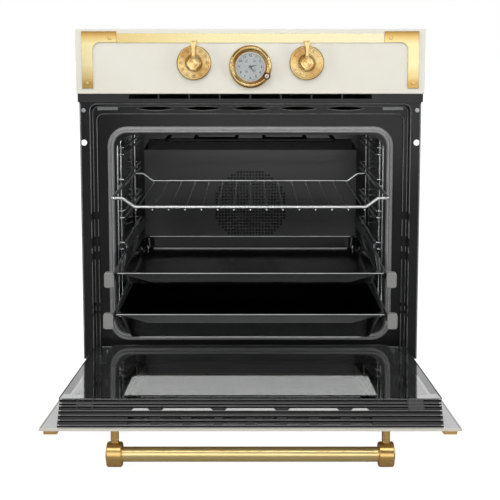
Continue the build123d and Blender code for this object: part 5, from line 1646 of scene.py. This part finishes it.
@dataclass
class Louvre:
    """The ribbed end of the door: a sloped face with air windows, ribs, catches and end cheeks.

    On the face, places along it are shares of its length.
    """

    open_place: Matrix
    half: float = 272.8
    sink: float = 2.9
    inner_y: float = 19.0
    inner_z: float = 446.0
    outer_y: float = -16.0
    outer_z: float = 476.0
    foot_z: float = 412.0
    plate: float = 1.6
    rib_deep: float = 2.4
    rib_thick: float = 1.5
    rib_edge: float = 0.45
    rib_light: float = 0.38
    rib_places: Sequence[float] = (0.03, 0.165, 0.262, 0.425, 0.58, 0.745, 0.92)
    wide_row: Flat = (0.285, 0.41)
    narrow_rows: Sequence[Flat] = ((0.60, 0.69), (0.775, 0.865))
    narrow_count: int = 8
    wide_pitch: float = 90.0
    narrow_pitch: float = 45.0
    wide_flare: float = 11.8
    wide_web: float = 6.6
    narrow_web: float = 6.7
    reach: float = 178.0
    tip_long: float = 3.6
    catch_place: float = 236.0
    catch_half: float = 10.8
    catch_rise: float = 0.7
    cheek: float = 1.8
    length: float = field(init=False)
    sunk: Vector = field(init=False)
    place: Matrix = field(init=False)

    def __post_init__(self) -> None:
        """Works out the sloped face's length and where it lies on the open door."""
        run = self.outer_y - self.inner_y
        rise = self.outer_z - self.inner_z
        self.length = math.hypot(run, rise)
        along = Vector((0, run, rise)) / self.length
        outward = Vector((0, rise, -run)) / self.length
        self.sunk = -self.sink * outward
        face = Matrix((
            (1, 0, 0, 0),
            (0, along.y, outward.y, (self.inner_y + self.sunk.y) * MM),
            (0, along.z, outward.z, (self.inner_z + self.sunk.z) * MM),
            (0, 0, 0, 1),
        ))
        self.place = self.open_place @ face

    def build(self) -> None:
        """Makes the louvre's plate, ribs with their painted highlights, catches and cheeks."""
        self.face_plate()
        self.ribs()
        self.rib_lights()
        self.catches()
        self.cheeks()

    def _end(self, stock: Stock, name: str, finish: Finish, *stands_for: str) -> None:
        """Turns a piece of the sloped face to where the door rests and ends it."""
        stock.mesh.transform(self.place)
        stock.face_out()
        stock.piece(name, finish, "black_paint", *stands_for, body=Body.DOOR)

    def _strip(self, stock: Stock, left: float, right: float, row: Flat, flare: float = 0.0) -> None:
        """Outlines a plate or a window on the sloped face, narrower by its flare at its start."""
        start, end = (part * self.length for part in row)
        stock.outline([(left + flare, start, 0), (right - flare, start, 0), (right, end, 0), (left, end, 0)])

    def face_plate(self) -> None:
        """Makes the sloped plate with its rows of air windows."""
        stock = Stock()
        self._strip(stock, -self.half, self.half, (0.0, 1.0))
        edges = [-self.reach, -1.5 * self.wide_pitch, -0.5 * self.wide_pitch]
        edges += [-edge for edge in reversed(edges)]
        flare = self.wide_flare - self.wide_web
        for left, right in zip(edges, edges[1:]):
            self._strip(stock, left + self.wide_web, right - self.wide_web, self.wide_row, flare)
        for row in self.narrow_rows:
            for index in range(self.narrow_count):
                left = (index - self.narrow_count / 2) * self.narrow_pitch
                self._strip(stock, left + self.narrow_web, left + self.narrow_pitch - self.narrow_web, row)
        stock.fill_between()
        stock.thicken(-self.plate, UPWARD)
        self._end(stock, "louvre_plate", Finishes.louvre_black, "door_louvre")

    def ribs(self) -> None:
        """Adds the long ribs, each with a soft front edge."""
        stock = Stock()
        for place in self.rib_places:
            middle = place * self.length
            low = (-self.half, middle - self.rib_thick / 2, 0.0)
            stock.bar(low, (self.half, middle + self.rib_thick / 2, self.rib_deep))
        stock.soften(self.rib_edge, steps=3)
        self._end(stock, "louvre_ribs", Finishes.rib_black)

    def rib_lights(self) -> None:
        """Adds a painted highlight along each rib's edge and painted glints at its ends."""
        edges = Stock()
        tips = Stock()
        for place in self.rib_places:
            up = place * self.length - self.rib_thick / 2 + 0.2
            edges.add_wire(pair(self.half - 4, up, self.rib_deep), self.rib_light)
            tip = pair(self.half - self.tip_long, up, self.rib_deep)
            for ends in zip(pair(self.half - 0.6, up, self.rib_deep), tip):
                tips.add_wire(ends, 1.6 * self.rib_light)
        self._end(edges, "louvre_rib_edges", Finishes.rib_edge)
        self._end(tips, "louvre_rib_ends", Finishes.worn_edge)

    def catches(self) -> None:
        """Adds the catch at each end, two posts with a bar across, the right one with a block."""
        stock = Stock()
        top = self.rib_deep + self.catch_rise
        for side in SIDES:
            left, right = side * self.catch_place - self.catch_half, side * self.catch_place + self.catch_half
            boxes = [(x - 0.7, x + 0.7, 0.0, 0.44, top) for x in (left, right)]
            boxes.append((left, right, 0.19, 0.24, top))
            if side > 0:
                boxes.append((left, right, 0.02, 0.43, top - 0.4))
            for start, end, low, high, out in boxes:
                stock.bar((start, low * self.length, 0.0), (end, high * self.length, out))
        stock.soften(0.3)
        self._end(stock, "louvre_catches", Finishes.catch_grey)

    def cheeks(self) -> None:
        """Closes the louvre's two ends."""
        stock = Stock()
        inner, outer = self.inner_z + self.sunk.z, self.outer_z + self.sunk.z
        section = [
            (self.outer_y, self.foot_z), (self.outer_y, outer), (self.inner_y - 0.6, inner),
            (self.inner_y - 4.1, inner), (self.inner_y - 4.1, self.foot_z),
        ]
        for x in (0.2 - self.half, self.half - 0.2 - self.cheek):
            stock.outline([(x, y, z) for y, z in section])
        stock.thicken(self.cheek, Vector((1, 0, 0)))
        stock.mesh.transform(self.open_place)
        stock.piece("louvre_cheeks", Finishes.louvre_black, "black_paint", body=Body.DOOR)


@dataclass
class Casing:
    """The galvanised outer case with the switches, the duct and the mains inlet."""

    def build(self) -> None:
        """Dresses the casing's nodes."""
        dress(
            Finishes.galvanised, "casing_base", "casing_side_left", "casing_side_right", "casing_top",
            "casing_rear", "cooling_duct",
        )
        dress(Finishes.dark_plastic, "mains_inlet", "function_switch", "thermostat")
        dress(Finishes.wool, "insulation")


def main() -> None:
    """Builds the studio and the oven's sub-assemblies in order."""
    logging.basicConfig(level=logging.INFO, format="%(name)s: %(message)s")
    Studio().build()
    assemblies = [
        ControlPanel(),
        LeverKnob("function_knob", Body.FUNCTION_KNOB, mark_rings=True),
        LeverKnob("thermostat_knob", Body.THERMOSTAT_KNOB, mark_rings=False),
        Clock(),
        FrontFrame(),
        Cavity(),
        ShelfAndTrays(),
        Door(),
        Casing(),
    ]
    for assembly in assemblies:
        assembly.build()
        LOG.info("%s is built", type(assembly).__name__)


if __name__ == "__main__":
    main()
